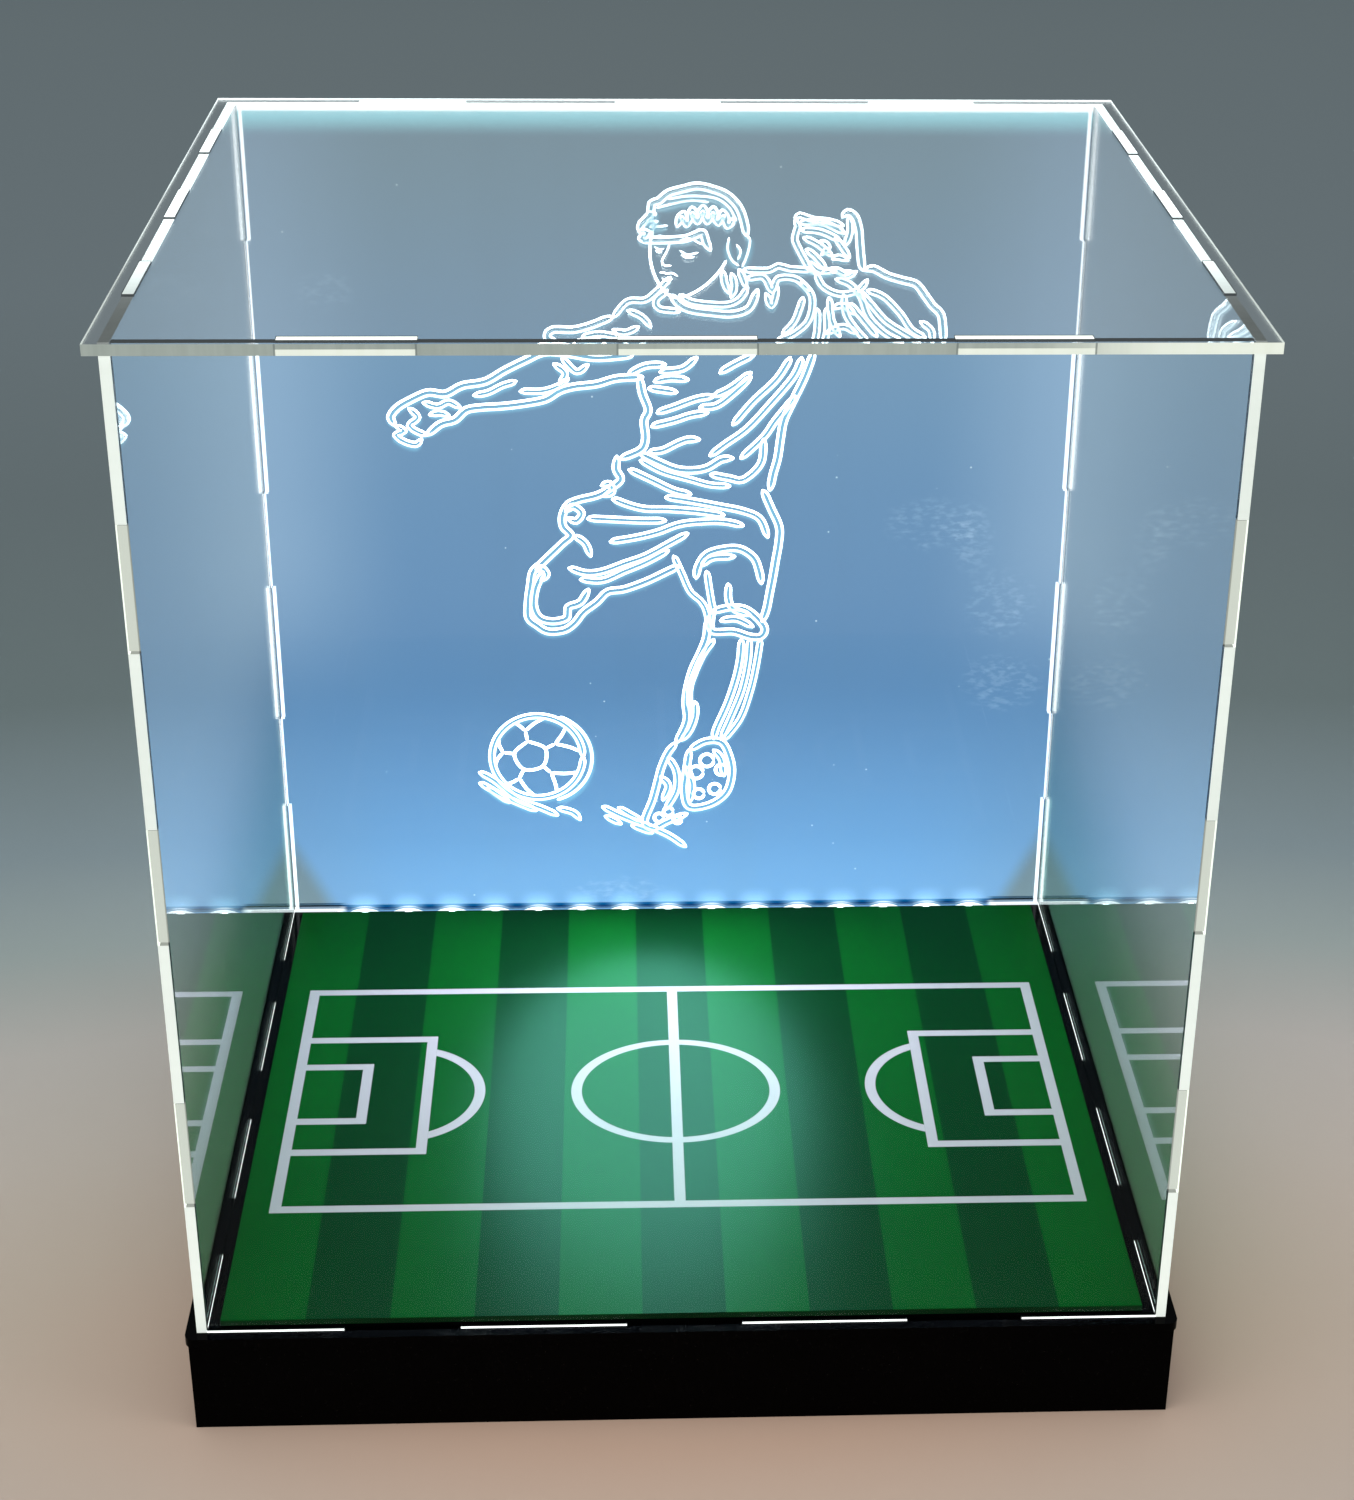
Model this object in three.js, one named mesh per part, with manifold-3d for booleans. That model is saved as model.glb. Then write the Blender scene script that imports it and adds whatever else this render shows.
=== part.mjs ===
// Football display case: a clear acrylic cover of laser-cut sheets with finger joints and tabs, standing on
// a gloss black base box. The back wall is lit along its bottom edge by an LED strip set into the base.
//
// Frame: millimetres, +Z up, front of the case towards -Y. The origin is the centre of the base's bottom.

import * as THREE from 'three';
import Module from 'manifold-3d';
import { mergeVertices } from 'three/addons/utils/BufferGeometryUtils.js';

const wasm = await Module();
wasm.setup();

// ---------------------------------------------------------------------------------------------------------
// Driving dimensions
// ---------------------------------------------------------------------------------------------------------

const sheet = 3; // thickness of every clear and black sheet

const cover_width = 293; // over the outer faces of the side walls
const cover_depth = 263; // over the outer faces of the front and back walls
const cover_height = 304; // walls, from the base's top plate to the underside of the lid
const plate_overhang = 3.5; // lid and base top plate past the walls, all round

const base_height = 34; // table to the top of the base's top plate
const box_setback = 1; // base box inside the edge of its top plate
const plate_corner = 3; // corner radius of the base's top plate

const tab_on_width = 35; // tabs on the front and back walls
const tab_on_depth = 31; // tabs on the side walls
const tab_on_height = 36; // fingers up the corners
const tab_spread = 0.29; // outer tabs and fingers from the middle, as a share of the edge they repeat along
const tab_short = 0.1; // a tab ends this far inside the face of the sheet it passes through
const slot_gap = 0.15; // round a tab in its slot
const joint_gap = 0.1; // round a finger in its notch

const pitch_thickness = 2;
const pitch_side_gap = 3.7; // pitch panel to the side walls
const pitch_front_gap = 1.5; // to the front wall
const pitch_back_gap = 4; // to the back wall

const led_per_unit = 3; // the tape is cut between units of three LEDs
const unit_length = 50;
const unit_end_room = 15; // at least this much between the tape's end and a side wall
const led_size = { length: 3.5, width: 2.8, height: 1.9 };
const tape_width = 6;
const tape_thickness = 0.3;
const led_gap = 0.8; // LED to each side of the slot that it stands in, in the top plate
const opening_end_room = 2; // that slot past each end of the tape, where the wires drop through
const rail_depth = 14;

const block_side = 12; // corner blocks
const bottom_gap = 0.3; // round the bottom plate, inside the box
const screw = { length: 14, shank: 1.5, head: 2.9, head_height: 1.7, sunk: 0.2, gap: 0.15 };

const socket = {
  from_side: 49, // socket's axis from the box's right-hand face
  flange_radius: 7,
  flange_thickness: 1,
  body_radius: 5.4,
  body_length: 14, // behind the flange
  bore_radius: 3,
  bore_depth: 10.5,
  pin_radius: 1,
  pin_length: 9,
  hole_gap: 0.15,
  nut_across: 14,
  nut_thickness: 2.4,
  nut_gap: 0.1,
  lug_width: 2.4,
  lug_length: 5,
  lug_thickness: 0.6,
  lug_spacing: 5,
};
const wire = { radius: 0.6, spacing: 1.5, spread: 2.5, gap: 0.3, sides: 8, steps: 48 };

const round_segments = 32;
const overcut = 1; // cutters run past the faces that they cut through by this much
const weld_distance = 1e-4; // corners closer than this are one corner

// ---------------------------------------------------------------------------------------------------------
// Planes and edges that several pieces share
// ---------------------------------------------------------------------------------------------------------

const wall_right = cover_width / 2;
const wall_back = cover_depth / 2;
const inner_right = wall_right - sheet;
const inner_back = wall_back - sheet;
const floor_z = base_height; // the walls stand here
const lid_z = base_height + cover_height; // underside of the lid
const under_top_plate = base_height - sheet;

const plate_right = wall_right + plate_overhang;
const plate_back = wall_back + plate_overhang;
const box_right = plate_right - box_setback;
const box_back = plate_back - box_setback;
const box_inner_right = box_right - sheet;
const box_inner_back = box_back - sheet;

const back_wall_y = wall_back - sheet / 2; // middle of the back wall's thickness, and of the LED row

const unit_count = Math.floor((2 * inner_right - 2 * unit_end_room) / unit_length);
const led_count = unit_count * led_per_unit;
const led_pitch = unit_length / led_per_unit;
const tape_right = (unit_count * unit_length) / 2;
const opening_length = 2 * (tape_right + opening_end_room);
const rail_top = under_top_plate - tape_thickness;
const rail_bottom = rail_top - sheet;

// Middles of three repeats along an edge of the given length.
const repeats = (length) => [-tab_spread * length, 0, tab_spread * length];
const along_width = repeats(cover_width);
const along_depth = repeats(cover_depth);
const along_height = repeats(cover_height).map((z) => z + cover_height / 2);

// ---------------------------------------------------------------------------------------------------------
// Materials
// ---------------------------------------------------------------------------------------------------------

const clear_acrylic = new THREE.MeshStandardMaterial({
  color: 0xcfe0e6,
  roughness: 0.05,
  metalness: 0,
  transparent: true,
  opacity: 0.25,
});
const black_acrylic = new THREE.MeshStandardMaterial({ color: 0x050506, roughness: 0.08, metalness: 0 });
const printed_pitch = new THREE.MeshStandardMaterial({ color: 0x0e6b35, roughness: 0.35, metalness: 0 });
const white_tape = new THREE.MeshStandardMaterial({ color: 0xe8e8e4, roughness: 0.4, metalness: 0 });
const led_white = new THREE.MeshStandardMaterial({ color: 0xf4f7ff, roughness: 0.3, metalness: 0 });
const zinc_steel = new THREE.MeshStandardMaterial({ color: 0xb4b6b8, roughness: 0.35, metalness: 1 });
const nickel = new THREE.MeshStandardMaterial({ color: 0xc6c2b8, roughness: 0.25, metalness: 1 });
const socket_black = new THREE.MeshStandardMaterial({ color: 0x0c0c0d, roughness: 0.4, metalness: 0 });
const red_insulation = new THREE.MeshStandardMaterial({ color: 0xa3120f, roughness: 0.45, metalness: 0 });
const black_insulation = new THREE.MeshStandardMaterial({ color: 0x111112, roughness: 0.45, metalness: 0 });

// ---------------------------------------------------------------------------------------------------------
// Shapes
// ---------------------------------------------------------------------------------------------------------

const model = new THREE.Group();

function add(name, geometry, material, parent = model) {
  const mesh = new THREE.Mesh(geometry, material);
  mesh.name = name;
  parent.add(mesh);
  return mesh;
}

// Adds one edge of a sheet's outline, from start to end, with its steps. A step's middle is where the edge
// has the coordinate at, and the step stands out past the edge, or cuts into it where out is negative.
function addEdge(points, start, end, steps = []) {
  const along = end.clone().sub(start).normalize();
  const outward = new THREE.Vector2(along.y, -along.x);
  const place = (distance, out) =>
    start.clone().addScaledVector(along, distance).addScaledVector(outward, out);
  const middles = steps.map((step) => new THREE.Vector2(step.at, step.at).sub(start));
  points.push(start);
  steps
    .map((step, i) => ({ ...step, distance: middles[i].x * along.x + middles[i].y * along.y }))
    .sort((a, b) => a.distance - b.distance)
    .forEach(({ distance, length, out }) => {
      points.push(place(distance - length / 2, 0), place(distance - length / 2, out));
      points.push(place(distance + length / 2, out), place(distance + length / 2, 0));
    });
}

// Outline of a rectangular sheet between the four given edges, with steps on any of them.
function sheetOutline({ left, right, bottom, top, steps = {} }) {
  const corner = (x, y) => new THREE.Vector2(x, y);
  const points = [];
  addEdge(points, corner(left, bottom), corner(right, bottom), steps.bottom);
  addEdge(points, corner(right, bottom), corner(right, top), steps.right);
  addEdge(points, corner(right, top), corner(left, top), steps.top);
  addEdge(points, corner(left, top), corner(left, bottom), steps.left);
  return new THREE.Shape(points);
}

// Outline of a plate about the origin, with rounded corners.
function roundedOutline(half_width, half_depth, radius) {
  const shape = new THREE.Shape();
  const x = half_width - radius;
  const y = half_depth - radius;
  shape.absarc(x, y, radius, 0, Math.PI / 2);
  shape.absarc(-x, y, radius, Math.PI / 2, Math.PI);
  shape.absarc(-x, -y, radius, Math.PI, 1.5 * Math.PI);
  shape.absarc(x, -y, radius, 1.5 * Math.PI, 2 * Math.PI);
  shape.closePath();
  return shape;
}

function extrude(shape, thickness) {
  const curveSegments = round_segments / 2; // an arc gets two chords for each
  return new THREE.ExtrudeGeometry(shape, { depth: thickness, bevelEnabled: false, curveSegments });
}

// A block given by its lowest and highest corners.
function block(low, high) {
  const size = high.map((value, i) => value - low[i]);
  const middle = high.map((value, i) => (value + low[i]) / 2);
  return new THREE.BoxGeometry(...size).translate(...middle);
}

// A cutter for a slot through a sheet that lies from z = 0 to its thickness.
function slot(x, y, width, depth) {
  return block([x - width / 2, y - depth / 2, -overcut], [x + width / 2, y + depth / 2, sheet + overcut]);
}

function toSolid(geometry) {
  const plain = geometry.clone();
  plain.deleteAttribute('normal');
  plain.deleteAttribute('uv');
  const merged = mergeVertices(plain, weld_distance);
  return new wasm.Manifold(
    new wasm.Mesh({
      numProp: 3,
      vertProperties: new Float32Array(merged.attributes.position.array),
      triVerts: new Uint32Array(merged.index.array),
    }),
  );
}

function toGeometry(solid) {
  const { vertProperties, triVerts } = solid.getMesh();
  const geometry = new THREE.BufferGeometry();
  geometry.setAttribute('position', new THREE.BufferAttribute(vertProperties, 3));
  geometry.setIndex(new THREE.BufferAttribute(triVerts, 1));
  geometry.computeVertexNormals();
  return geometry;
}

function cut(geometry, tools) {
  return toGeometry(tools.reduce((solid, tool) => solid.subtract(toSolid(tool)), toSolid(geometry)));
}

// A solid of revolution about the local Y axis, from [radius, height] pairs that start and end on the axis.
function turned(profile) {
  return new THREE.LatheGeometry(profile.map(([r, y]) => new THREE.Vector2(r, y)), round_segments);
}

// ---------------------------------------------------------------------------------------------------------
// Clear cover: walls with finger joints up the corners, tabs into the base and the lid
// ---------------------------------------------------------------------------------------------------------

const tab_depth = sheet - tab_short;
const tabs = (middles, length) => middles.map((at) => ({ at, length, out: tab_depth }));
const fingers = along_height.map((at) => ({ at, length: tab_on_height, out: sheet + joint_gap }));
const notches = along_height.map((at) => ({
  at,
  length: tab_on_height + 2 * joint_gap,
  out: -(sheet + joint_gap),
}));

// Front and back walls stand between the side walls, with fingers out to their outer faces.
function crossWall(name, outer_y, bottom_tabs) {
  const outline = sheetOutline({
    left: -(inner_right - joint_gap),
    right: inner_right - joint_gap,
    bottom: 0,
    top: cover_height,
    steps: { left: fingers, right: fingers, top: tabs(along_width, tab_on_width), bottom: bottom_tabs },
  });
  const wall = add(name, extrude(outline, sheet), clear_acrylic);
  wall.rotation.set(Math.PI / 2, 0, 0);
  wall.position.set(0, outer_y, floor_z);
}

crossWall('front_wall', -inner_back, tabs(along_width, tab_on_width));
crossWall('back_wall', wall_back, []);

// Side walls run the whole depth, notched for the fingers.
function sideWall(name, low_x) {
  const side_tabs = tabs(along_depth, tab_on_depth);
  const outline = sheetOutline({
    left: -wall_back,
    right: wall_back,
    bottom: 0,
    top: cover_height,
    steps: { left: notches, right: notches, top: side_tabs, bottom: side_tabs },
  });
  const wall = add(name, extrude(outline, sheet), clear_acrylic);
  wall.rotation.set(Math.PI / 2, Math.PI / 2, 0);
  wall.position.set(low_x, 0, floor_z);
}

sideWall('left_wall', -wall_right);
sideWall('right_wall', inner_right);

// Slots that the tabs of the walls at the given places pass through.
const slot_depth = sheet + 2 * slot_gap;
const crossSlots = (y) => along_width.map((x) => slot(x, y, tab_on_width + 2 * slot_gap, slot_depth));
const sideSlots = (x) => along_depth.map((y) => slot(x, y, slot_depth, tab_on_depth + 2 * slot_gap));
const side_wall_x = wall_right - sheet / 2;

const lid_outline = sheetOutline({
  left: -plate_right,
  right: plate_right,
  bottom: -plate_back,
  top: plate_back,
});
const lid_slots = [
  ...crossSlots(-back_wall_y),
  ...crossSlots(back_wall_y),
  ...sideSlots(-side_wall_x),
  ...sideSlots(side_wall_x),
];
const lid = add('lid_plate', cut(extrude(lid_outline, sheet), lid_slots), clear_acrylic);
lid.position.z = lid_z;

// ---------------------------------------------------------------------------------------------------------
// Base: top plate, box panels, bottom plate, corner blocks and screws
// ---------------------------------------------------------------------------------------------------------

const top_outline = roundedOutline(plate_right, plate_back, plate_corner);
const top_slots = [
  ...crossSlots(-back_wall_y),
  ...sideSlots(-side_wall_x),
  ...sideSlots(side_wall_x),
  slot(0, back_wall_y, opening_length, led_size.width + 2 * led_gap),
];
const top_plate = add('base_top_plate', cut(extrude(top_outline, sheet), top_slots), black_acrylic);
top_plate.position.z = under_top_plate;

const socket_x = box_right - socket.from_side;
const socket_z = (rail_bottom + sheet) / 2;

add(
  'base_front_panel',
  block([-box_right, -box_back, 0], [box_right, -box_inner_back, under_top_plate]),
  black_acrylic,
);

// The back panel is notched along its top for the LED rail and the wires, and holed for the socket.
const back_outline = sheetOutline({
  left: -box_right,
  right: box_right,
  bottom: 0,
  top: under_top_plate,
  steps: { top: [{ at: 0, length: opening_length, out: rail_bottom - under_top_plate }] },
});
const socket_hole = new THREE.Path();
socket_hole.absarc(socket_x, socket_z, socket.body_radius + socket.hole_gap, 0, 2 * Math.PI);
back_outline.holes = [socket_hole];
const back_panel = add('base_back_panel', extrude(back_outline, sheet), black_acrylic);
back_panel.rotation.set(Math.PI / 2, 0, 0);
back_panel.position.set(0, box_back, 0);

for (const [name, low_x] of [['base_left_panel', -box_right], ['base_right_panel', box_inner_right]]) {
  add(
    name,
    block([low_x, -box_inner_back, 0], [low_x + sheet, box_inner_back, under_top_plate]),
    black_acrylic,
  );
}

// Screws stand in the corner blocks' middles, head down.
const screw_x = box_inner_right - block_side / 2;
const screw_y = box_inner_back - block_side / 2;
const corners = [
  { name: 'front_left', x: -screw_x, y: -screw_y },
  { name: 'front_right', x: screw_x, y: -screw_y },
  { name: 'back_left', x: -screw_x, y: screw_y },
  { name: 'back_right', x: screw_x, y: screw_y },
];
const upright = (geometry, x, y) => geometry.rotateX(Math.PI / 2).translate(x, y, 0);

const shank_hole = screw.shank + screw.gap;
const head_hole = screw.head + screw.gap;
const head_top = screw.sunk + screw.head_height;
const countersink = turned([
  [0, -overcut],
  [head_hole, -overcut],
  [head_hole, screw.sunk],
  [shank_hole, head_top],
  [shank_hole, sheet + overcut],
  [0, sheet + overcut],
]);
const bottom_right = box_inner_right - bottom_gap;
const bottom_back = box_inner_back - bottom_gap;
add(
  'base_bottom_plate',
  cut(
    block([-bottom_right, -bottom_back, 0], [bottom_right, bottom_back, sheet]),
    corners.map(({ x, y }) => upright(countersink.clone(), x, y)),
  ),
  black_acrylic,
);

corners.forEach(({ name, x, y }, i) => {
  const half = block_side / 2;
  const pilot_length = screw.length + overcut;
  const pilot = new THREE.CylinderGeometry(shank_hole, shank_hole, pilot_length, round_segments);
  add(
    `corner_block_${name}`,
    cut(block([x - half, y - half, sheet], [x + half, y + half, under_top_plate]), [
      pilot.rotateX(Math.PI / 2).translate(x, y, pilot_length / 2 + screw.sunk),
    ]),
    black_acrylic,
  );
  add(
    `base_screw_${i + 1}`,
    upright(
      turned([
        [0, screw.sunk],
        [screw.head, screw.sunk],
        [screw.shank, head_top],
        [screw.shank, screw.length - screw.shank],
        [0, screw.length],
      ]),
      x,
      y,
    ),
    zinc_steel,
  );
});

// ---------------------------------------------------------------------------------------------------------
// Pitch panel on the top plate
// ---------------------------------------------------------------------------------------------------------

const pitch_right = inner_right - pitch_side_gap;
add(
  'pitch_panel',
  block(
    [-pitch_right, -inner_back + pitch_front_gap, floor_z],
    [pitch_right, inner_back - pitch_back_gap, floor_z + pitch_thickness],
  ),
  printed_pitch,
);

// ---------------------------------------------------------------------------------------------------------
// LED strip on its rail, under the back wall
// ---------------------------------------------------------------------------------------------------------

add(
  'led_rail',
  block([-tape_right, box_back - rail_depth, rail_bottom], [tape_right, box_back, rail_top]),
  black_acrylic,
);
add(
  'led_tape',
  block(
    [-tape_right, back_wall_y - tape_width / 2, rail_top],
    [tape_right, back_wall_y + tape_width / 2, under_top_plate],
  ),
  white_tape,
);
for (let i = 0; i < led_count; i += 1) {
  const led = add(
    `led_${String(i + 1).padStart(2, '0')}`,
    new THREE.BoxGeometry(led_size.length, led_size.width, led_size.height),
    led_white,
  );
  led.position.set(
    (i - (led_count - 1) / 2) * led_pitch,
    back_wall_y,
    under_top_plate + led_size.height / 2,
  );
}

// ---------------------------------------------------------------------------------------------------------
// DC socket in the back panel, and its wires to the tape
// ---------------------------------------------------------------------------------------------------------

const inlet = new THREE.Group();
inlet.position.set(socket_x, box_back, socket_z);
model.add(inlet);

add(
  'dc_socket',
  turned([
    [0, -socket.body_length],
    [socket.body_radius, -socket.body_length],
    [socket.body_radius, 0],
    [socket.flange_radius, 0],
    [socket.flange_radius, socket.flange_thickness],
    [socket.bore_radius, socket.flange_thickness],
    [socket.bore_radius, -socket.bore_depth],
    [0, -socket.bore_depth],
  ]),
  socket_black,
  inlet,
);

const pin = add(
  'dc_socket_pin',
  new THREE.CylinderGeometry(socket.pin_radius, socket.pin_radius, socket.pin_length, round_segments / 2),
  nickel,
  inlet,
);
pin.position.y = -socket.bore_depth + socket.pin_length / 2;

const nut_outline = new THREE.Shape();
const nut_corner = socket.nut_across / Math.sqrt(3);
for (let i = 0; i < 6; i += 1) {
  const turn = (i * Math.PI) / 3;
  nut_outline[i ? 'lineTo' : 'moveTo'](nut_corner * Math.cos(turn), nut_corner * Math.sin(turn));
}
const nut_hole = new THREE.Path();
nut_hole.absarc(0, 0, socket.body_radius + socket.nut_gap, 0, 2 * Math.PI);
nut_outline.holes = [nut_hole];
const nut = add('dc_socket_nut', extrude(nut_outline, socket.nut_thickness), nickel, inlet);
nut.rotation.set(Math.PI / 2, 0, 0);
nut.position.y = -sheet;

for (const [name, side] of [['dc_lug_plus', 1], ['dc_lug_minus', -1]]) {
  const lug = add(
    name,
    new THREE.BoxGeometry(socket.lug_width, socket.lug_length, socket.lug_thickness),
    nickel,
    inlet,
  );
  lug.position.set((side * socket.lug_spacing) / 2, -socket.body_length - socket.lug_length / 2, 0);
}

// Each wire leaves the tape's end pad, drops past the end of the rail and in front of the back panel, and
// runs inside the box to its lug.
function addWire(name, side, material) {
  const lane_y = back_wall_y - wire.radius + (side * wire.spacing) / 2;
  const clear_of_panel = box_inner_back - wire.radius - wire.gap - ((1 - side) * wire.spacing) / 2;
  const low_lane_y = Math.min(lane_y, clear_of_panel);
  const pad_z = under_top_plate + wire.radius + wire.gap;
  const drop_x = tape_right + opening_end_room - wire.radius - wire.gap;
  const lug_x = socket_x + (side * socket.lug_spacing) / 2;
  const lug_y = box_back - socket.body_length - socket.lug_length;
  const lug_z = socket_z + socket.lug_thickness / 2 + wire.radius + wire.gap;
  const route = new THREE.CatmullRomCurve3(
    [
      new THREE.Vector3(tape_right - 3, lane_y, pad_z),
      new THREE.Vector3(tape_right - 1, lane_y, pad_z),
      new THREE.Vector3(drop_x - 0.2, lane_y, pad_z - 0.6),
      new THREE.Vector3(drop_x, low_lane_y, rail_bottom + 1),
      new THREE.Vector3(drop_x, low_lane_y - 1 + side * 0.3, rail_bottom - 3),
      new THREE.Vector3((drop_x + socket_x) / 2 + 4, lug_y - 3 + side * wire.spread, rail_bottom - 10),
      new THREE.Vector3(lug_x + 3, lug_y - 7 + side * wire.spread, lug_z + 1),
      new THREE.Vector3(lug_x, lug_y - 3, lug_z),
      new THREE.Vector3(lug_x, lug_y + 2, lug_z),
    ],
    false,
    'centripetal',
  );
  const section = new THREE.Shape();
  for (let i = 0; i < wire.sides; i += 1) {
    const turn = (i * 2 * Math.PI) / wire.sides;
    section[i ? 'lineTo' : 'moveTo'](wire.radius * Math.cos(turn), wire.radius * Math.sin(turn));
  }
  add(name, new THREE.ExtrudeGeometry(section, { steps: wire.steps, extrudePath: route }), material);
}

addWire('wire_plus', 1, red_insulation);
addWire('wire_minus', -1, black_insulation);

export default model;
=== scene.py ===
"""A lit football display case: a clear box of jointed sheets, with a footballer engraved on its back
wall, over a printed pitch on a gloss black base that holds a strip of LEDs. In metres, +Z up."""

import math

import bpy
import numpy as np
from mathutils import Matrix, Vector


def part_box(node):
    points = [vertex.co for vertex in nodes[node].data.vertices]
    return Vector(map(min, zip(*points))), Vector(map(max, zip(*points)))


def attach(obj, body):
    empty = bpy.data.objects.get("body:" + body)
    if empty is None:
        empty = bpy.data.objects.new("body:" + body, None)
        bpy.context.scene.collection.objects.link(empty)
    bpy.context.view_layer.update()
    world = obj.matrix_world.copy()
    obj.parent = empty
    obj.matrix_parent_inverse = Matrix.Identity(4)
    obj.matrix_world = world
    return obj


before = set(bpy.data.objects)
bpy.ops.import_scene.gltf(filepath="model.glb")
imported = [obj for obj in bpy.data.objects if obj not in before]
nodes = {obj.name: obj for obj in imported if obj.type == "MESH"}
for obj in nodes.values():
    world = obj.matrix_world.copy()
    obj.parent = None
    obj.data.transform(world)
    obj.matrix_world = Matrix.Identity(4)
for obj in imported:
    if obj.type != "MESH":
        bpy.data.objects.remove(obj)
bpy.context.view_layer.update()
MM = 0.001

# ---------------------------------------------------------------------------------------------
# The camera stands in front of the case and a little to its left, and looks down through the lid
# and the front wall at the engraving and the pitch.
camera_data = bpy.data.cameras.new("camera")
camera_data.lens = 65.66
camera_data.sensor_width = 36
camera_data.shift_x = -0.042
camera_data.shift_y = 0.0667
camera = bpy.data.objects.new("camera", camera_data)
camera.location = (-0.0173, -0.79576, 0.54822)
camera.rotation_euler = [math.radians(turn) for turn in (62.113, -0.669, -2.415)]
bpy.context.scene.collection.objects.link(camera)
bpy.context.scene.camera = camera
bpy.context.scene.view_settings.view_transform = "Standard"


# ---------------------------------------------------------------------------------------------
# The studio: a pale pool of light painted on the floor, which darkens to slate away from the case, a
# large softbox over it, a smaller one on the right, and a grey room that is brighter overhead.
def display(red, green, blue, alpha=1.0):
    """A linear colour from display levels of 0 to 255, by the sRGB curve."""
    shares = np.array((red, green, blue)) / 255
    linear = np.where(shares <= 0.04045, shares / 12.92, ((shares + 0.055) / 1.055) ** 2.4)
    return (*linear.tolist(), alpha)


def operator(operation, reflected=False):
    """The method for one of Python's operators: it adds the Math node of that operation."""
    def apply(number, other):
        values = (other, number) if reflected else (number, other)
        return number.maths(operation, *values)
    return apply


class Number:
    """A shader socket that carries one number. Python's operators on it add Math nodes; | keeps the
    larger of two numbers, and & the smaller."""

    def __init__(self, finish, socket):
        self.finish, self.socket = finish, socket

    def maths(self, operation, *values):
        node = self.finish.add("Math", {"operation": operation}, dict(enumerate(values)))
        return Number(self.finish, node.outputs[0])

    def __abs__(self):
        return self.maths("ABSOLUTE", self)

    __add__, __radd__ = operator("ADD"), operator("ADD", reflected=True)
    __sub__, __rsub__ = operator("SUBTRACT"), operator("SUBTRACT", reflected=True)
    __mul__, __rmul__ = operator("MULTIPLY"), operator("MULTIPLY", reflected=True)
    __truediv__, __mod__, __pow__ = operator("DIVIDE"), operator("FLOORED_MODULO"), operator("POWER")
    __or__, __and__ = operator("MAXIMUM"), operator("MINIMUM")
    __lt__, __gt__ = operator("LESS_THAN"), operator("GREATER_THAN")

    def ramp(self, low, high):
        """0 below low and 1 above high, with a smooth step between."""
        settings = {"interpolation_type": "SMOOTHSTEP"}
        sockets = {"Value": self, "From Min": low, "From Max": high}
        return Number(self.finish, self.finish.add("MapRange", settings, sockets).outputs[0])


class Finish:
    """A material, or a world, that is put together node by node."""

    def __init__(self, owner):
        self.owner = owner
        owner.use_nodes = True
        self.tree = owner.node_tree
        self.tree.nodes.clear()

    def add(self, kind, settings=(), sockets=(), interpolation="LINEAR"):
        """One node: its type, its settings, and its sockets' values or links."""
        node = self.tree.nodes.new("ShaderNode" + kind)
        for name, value in dict(settings).items():
            if name == "stops":
                while len(node.color_ramp.elements) > 1:
                    node.color_ramp.elements.remove(node.color_ramp.elements[0])
                node.color_ramp.interpolation = interpolation
                for index, (place, colour) in enumerate(value):
                    if index:
                        node.color_ramp.elements.new(place)
                    node.color_ramp.elements[index].position = place
                    node.color_ramp.elements[index].color = colour
            else:
                setattr(node, name, value)
        for name, value in dict(sockets).items():
            value = value.socket if isinstance(value, Number) else value
            if isinstance(value, bpy.types.NodeSocket):
                self.tree.links.new(value, node.inputs[name])
            else:
                node.inputs[name].default_value = value
        return node

    def places(self, output="Object", scale=1.0):
        """The three coordinates of a point on the piece, each times scale."""
        source = self.add("TexCoord").outputs[output]
        parts = self.add("SeparateXYZ", (), {0: source}).outputs
        return [Number(self, part) * scale for part in parts]

    def number(self, node, output=0):
        return Number(self, node.outputs[output])

    def noise(self, scale, detail=2.0, stretch=(1, 1, 1)):
        """Noise on the piece's own coordinates in metres, from 0 to 1."""
        source = self.add("TexCoord").outputs["Object"]
        stretched = self.add("Mapping", (), {"Vector": source, "Scale": stretch}).outputs[0]
        sockets = {"Vector": stretched, "Scale": scale, "Detail": detail}
        return Number(self, self.add("TexNoise", (), sockets).outputs[0])

    def blend(self, share, first, second):
        """The colour that is first at share 0 and second at share 1."""
        return self.add("Mix", {"data_type": "RGBA"}, {0: share, 6: first, 7: second}).outputs[2]

    def shader(self, kind, sockets):
        return self.add(kind, (), sockets).outputs[0]

    def either(self, share, first, second):
        """The shader that is first at share 0 and second at share 1."""
        return self.add("MixShader", (), {0: share, 1: first, 2: second}).outputs[0]

    def relief(self, height, depth):
        """A bumped normal from a height of 0 to 1 that stands for depth metres."""
        return self.add("Bump", (), {"Height": height, "Distance": depth}).outputs[0]

    def surface(self, shader):
        output = "OutputWorld" if isinstance(self.owner, bpy.types.World) else "OutputMaterial"
        self.add(output, (), {"Surface": shader})
        return self.owner


def new_finish(name):
    return Finish(bpy.data.materials.new(name))


def paint(material, *names):
    """Gives CAD nodes their finish, in the slots that their meshes have."""
    for name in names:
        for slot in nodes[name].material_slots:
            slot.material = material


def new_piece(name, points, faces, material, body, slot, smooth=True):
    """A piece from its points in metres and its faces, riding on a body."""
    mesh = bpy.data.meshes.new(name)
    corners = [[int(corner) for corner in face] for face in faces]
    mesh.from_pydata(np.asarray(points).tolist(), [], corners)
    mesh.materials.append(material)
    mesh.polygons.foreach_set("use_smooth", np.full(len(mesh.polygons), smooth))
    mesh.update()
    piece = bpy.data.objects.new(name, mesh)
    bpy.context.scene.collection.objects.link(piece)
    if body:
        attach(piece, body)
    return piece


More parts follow.
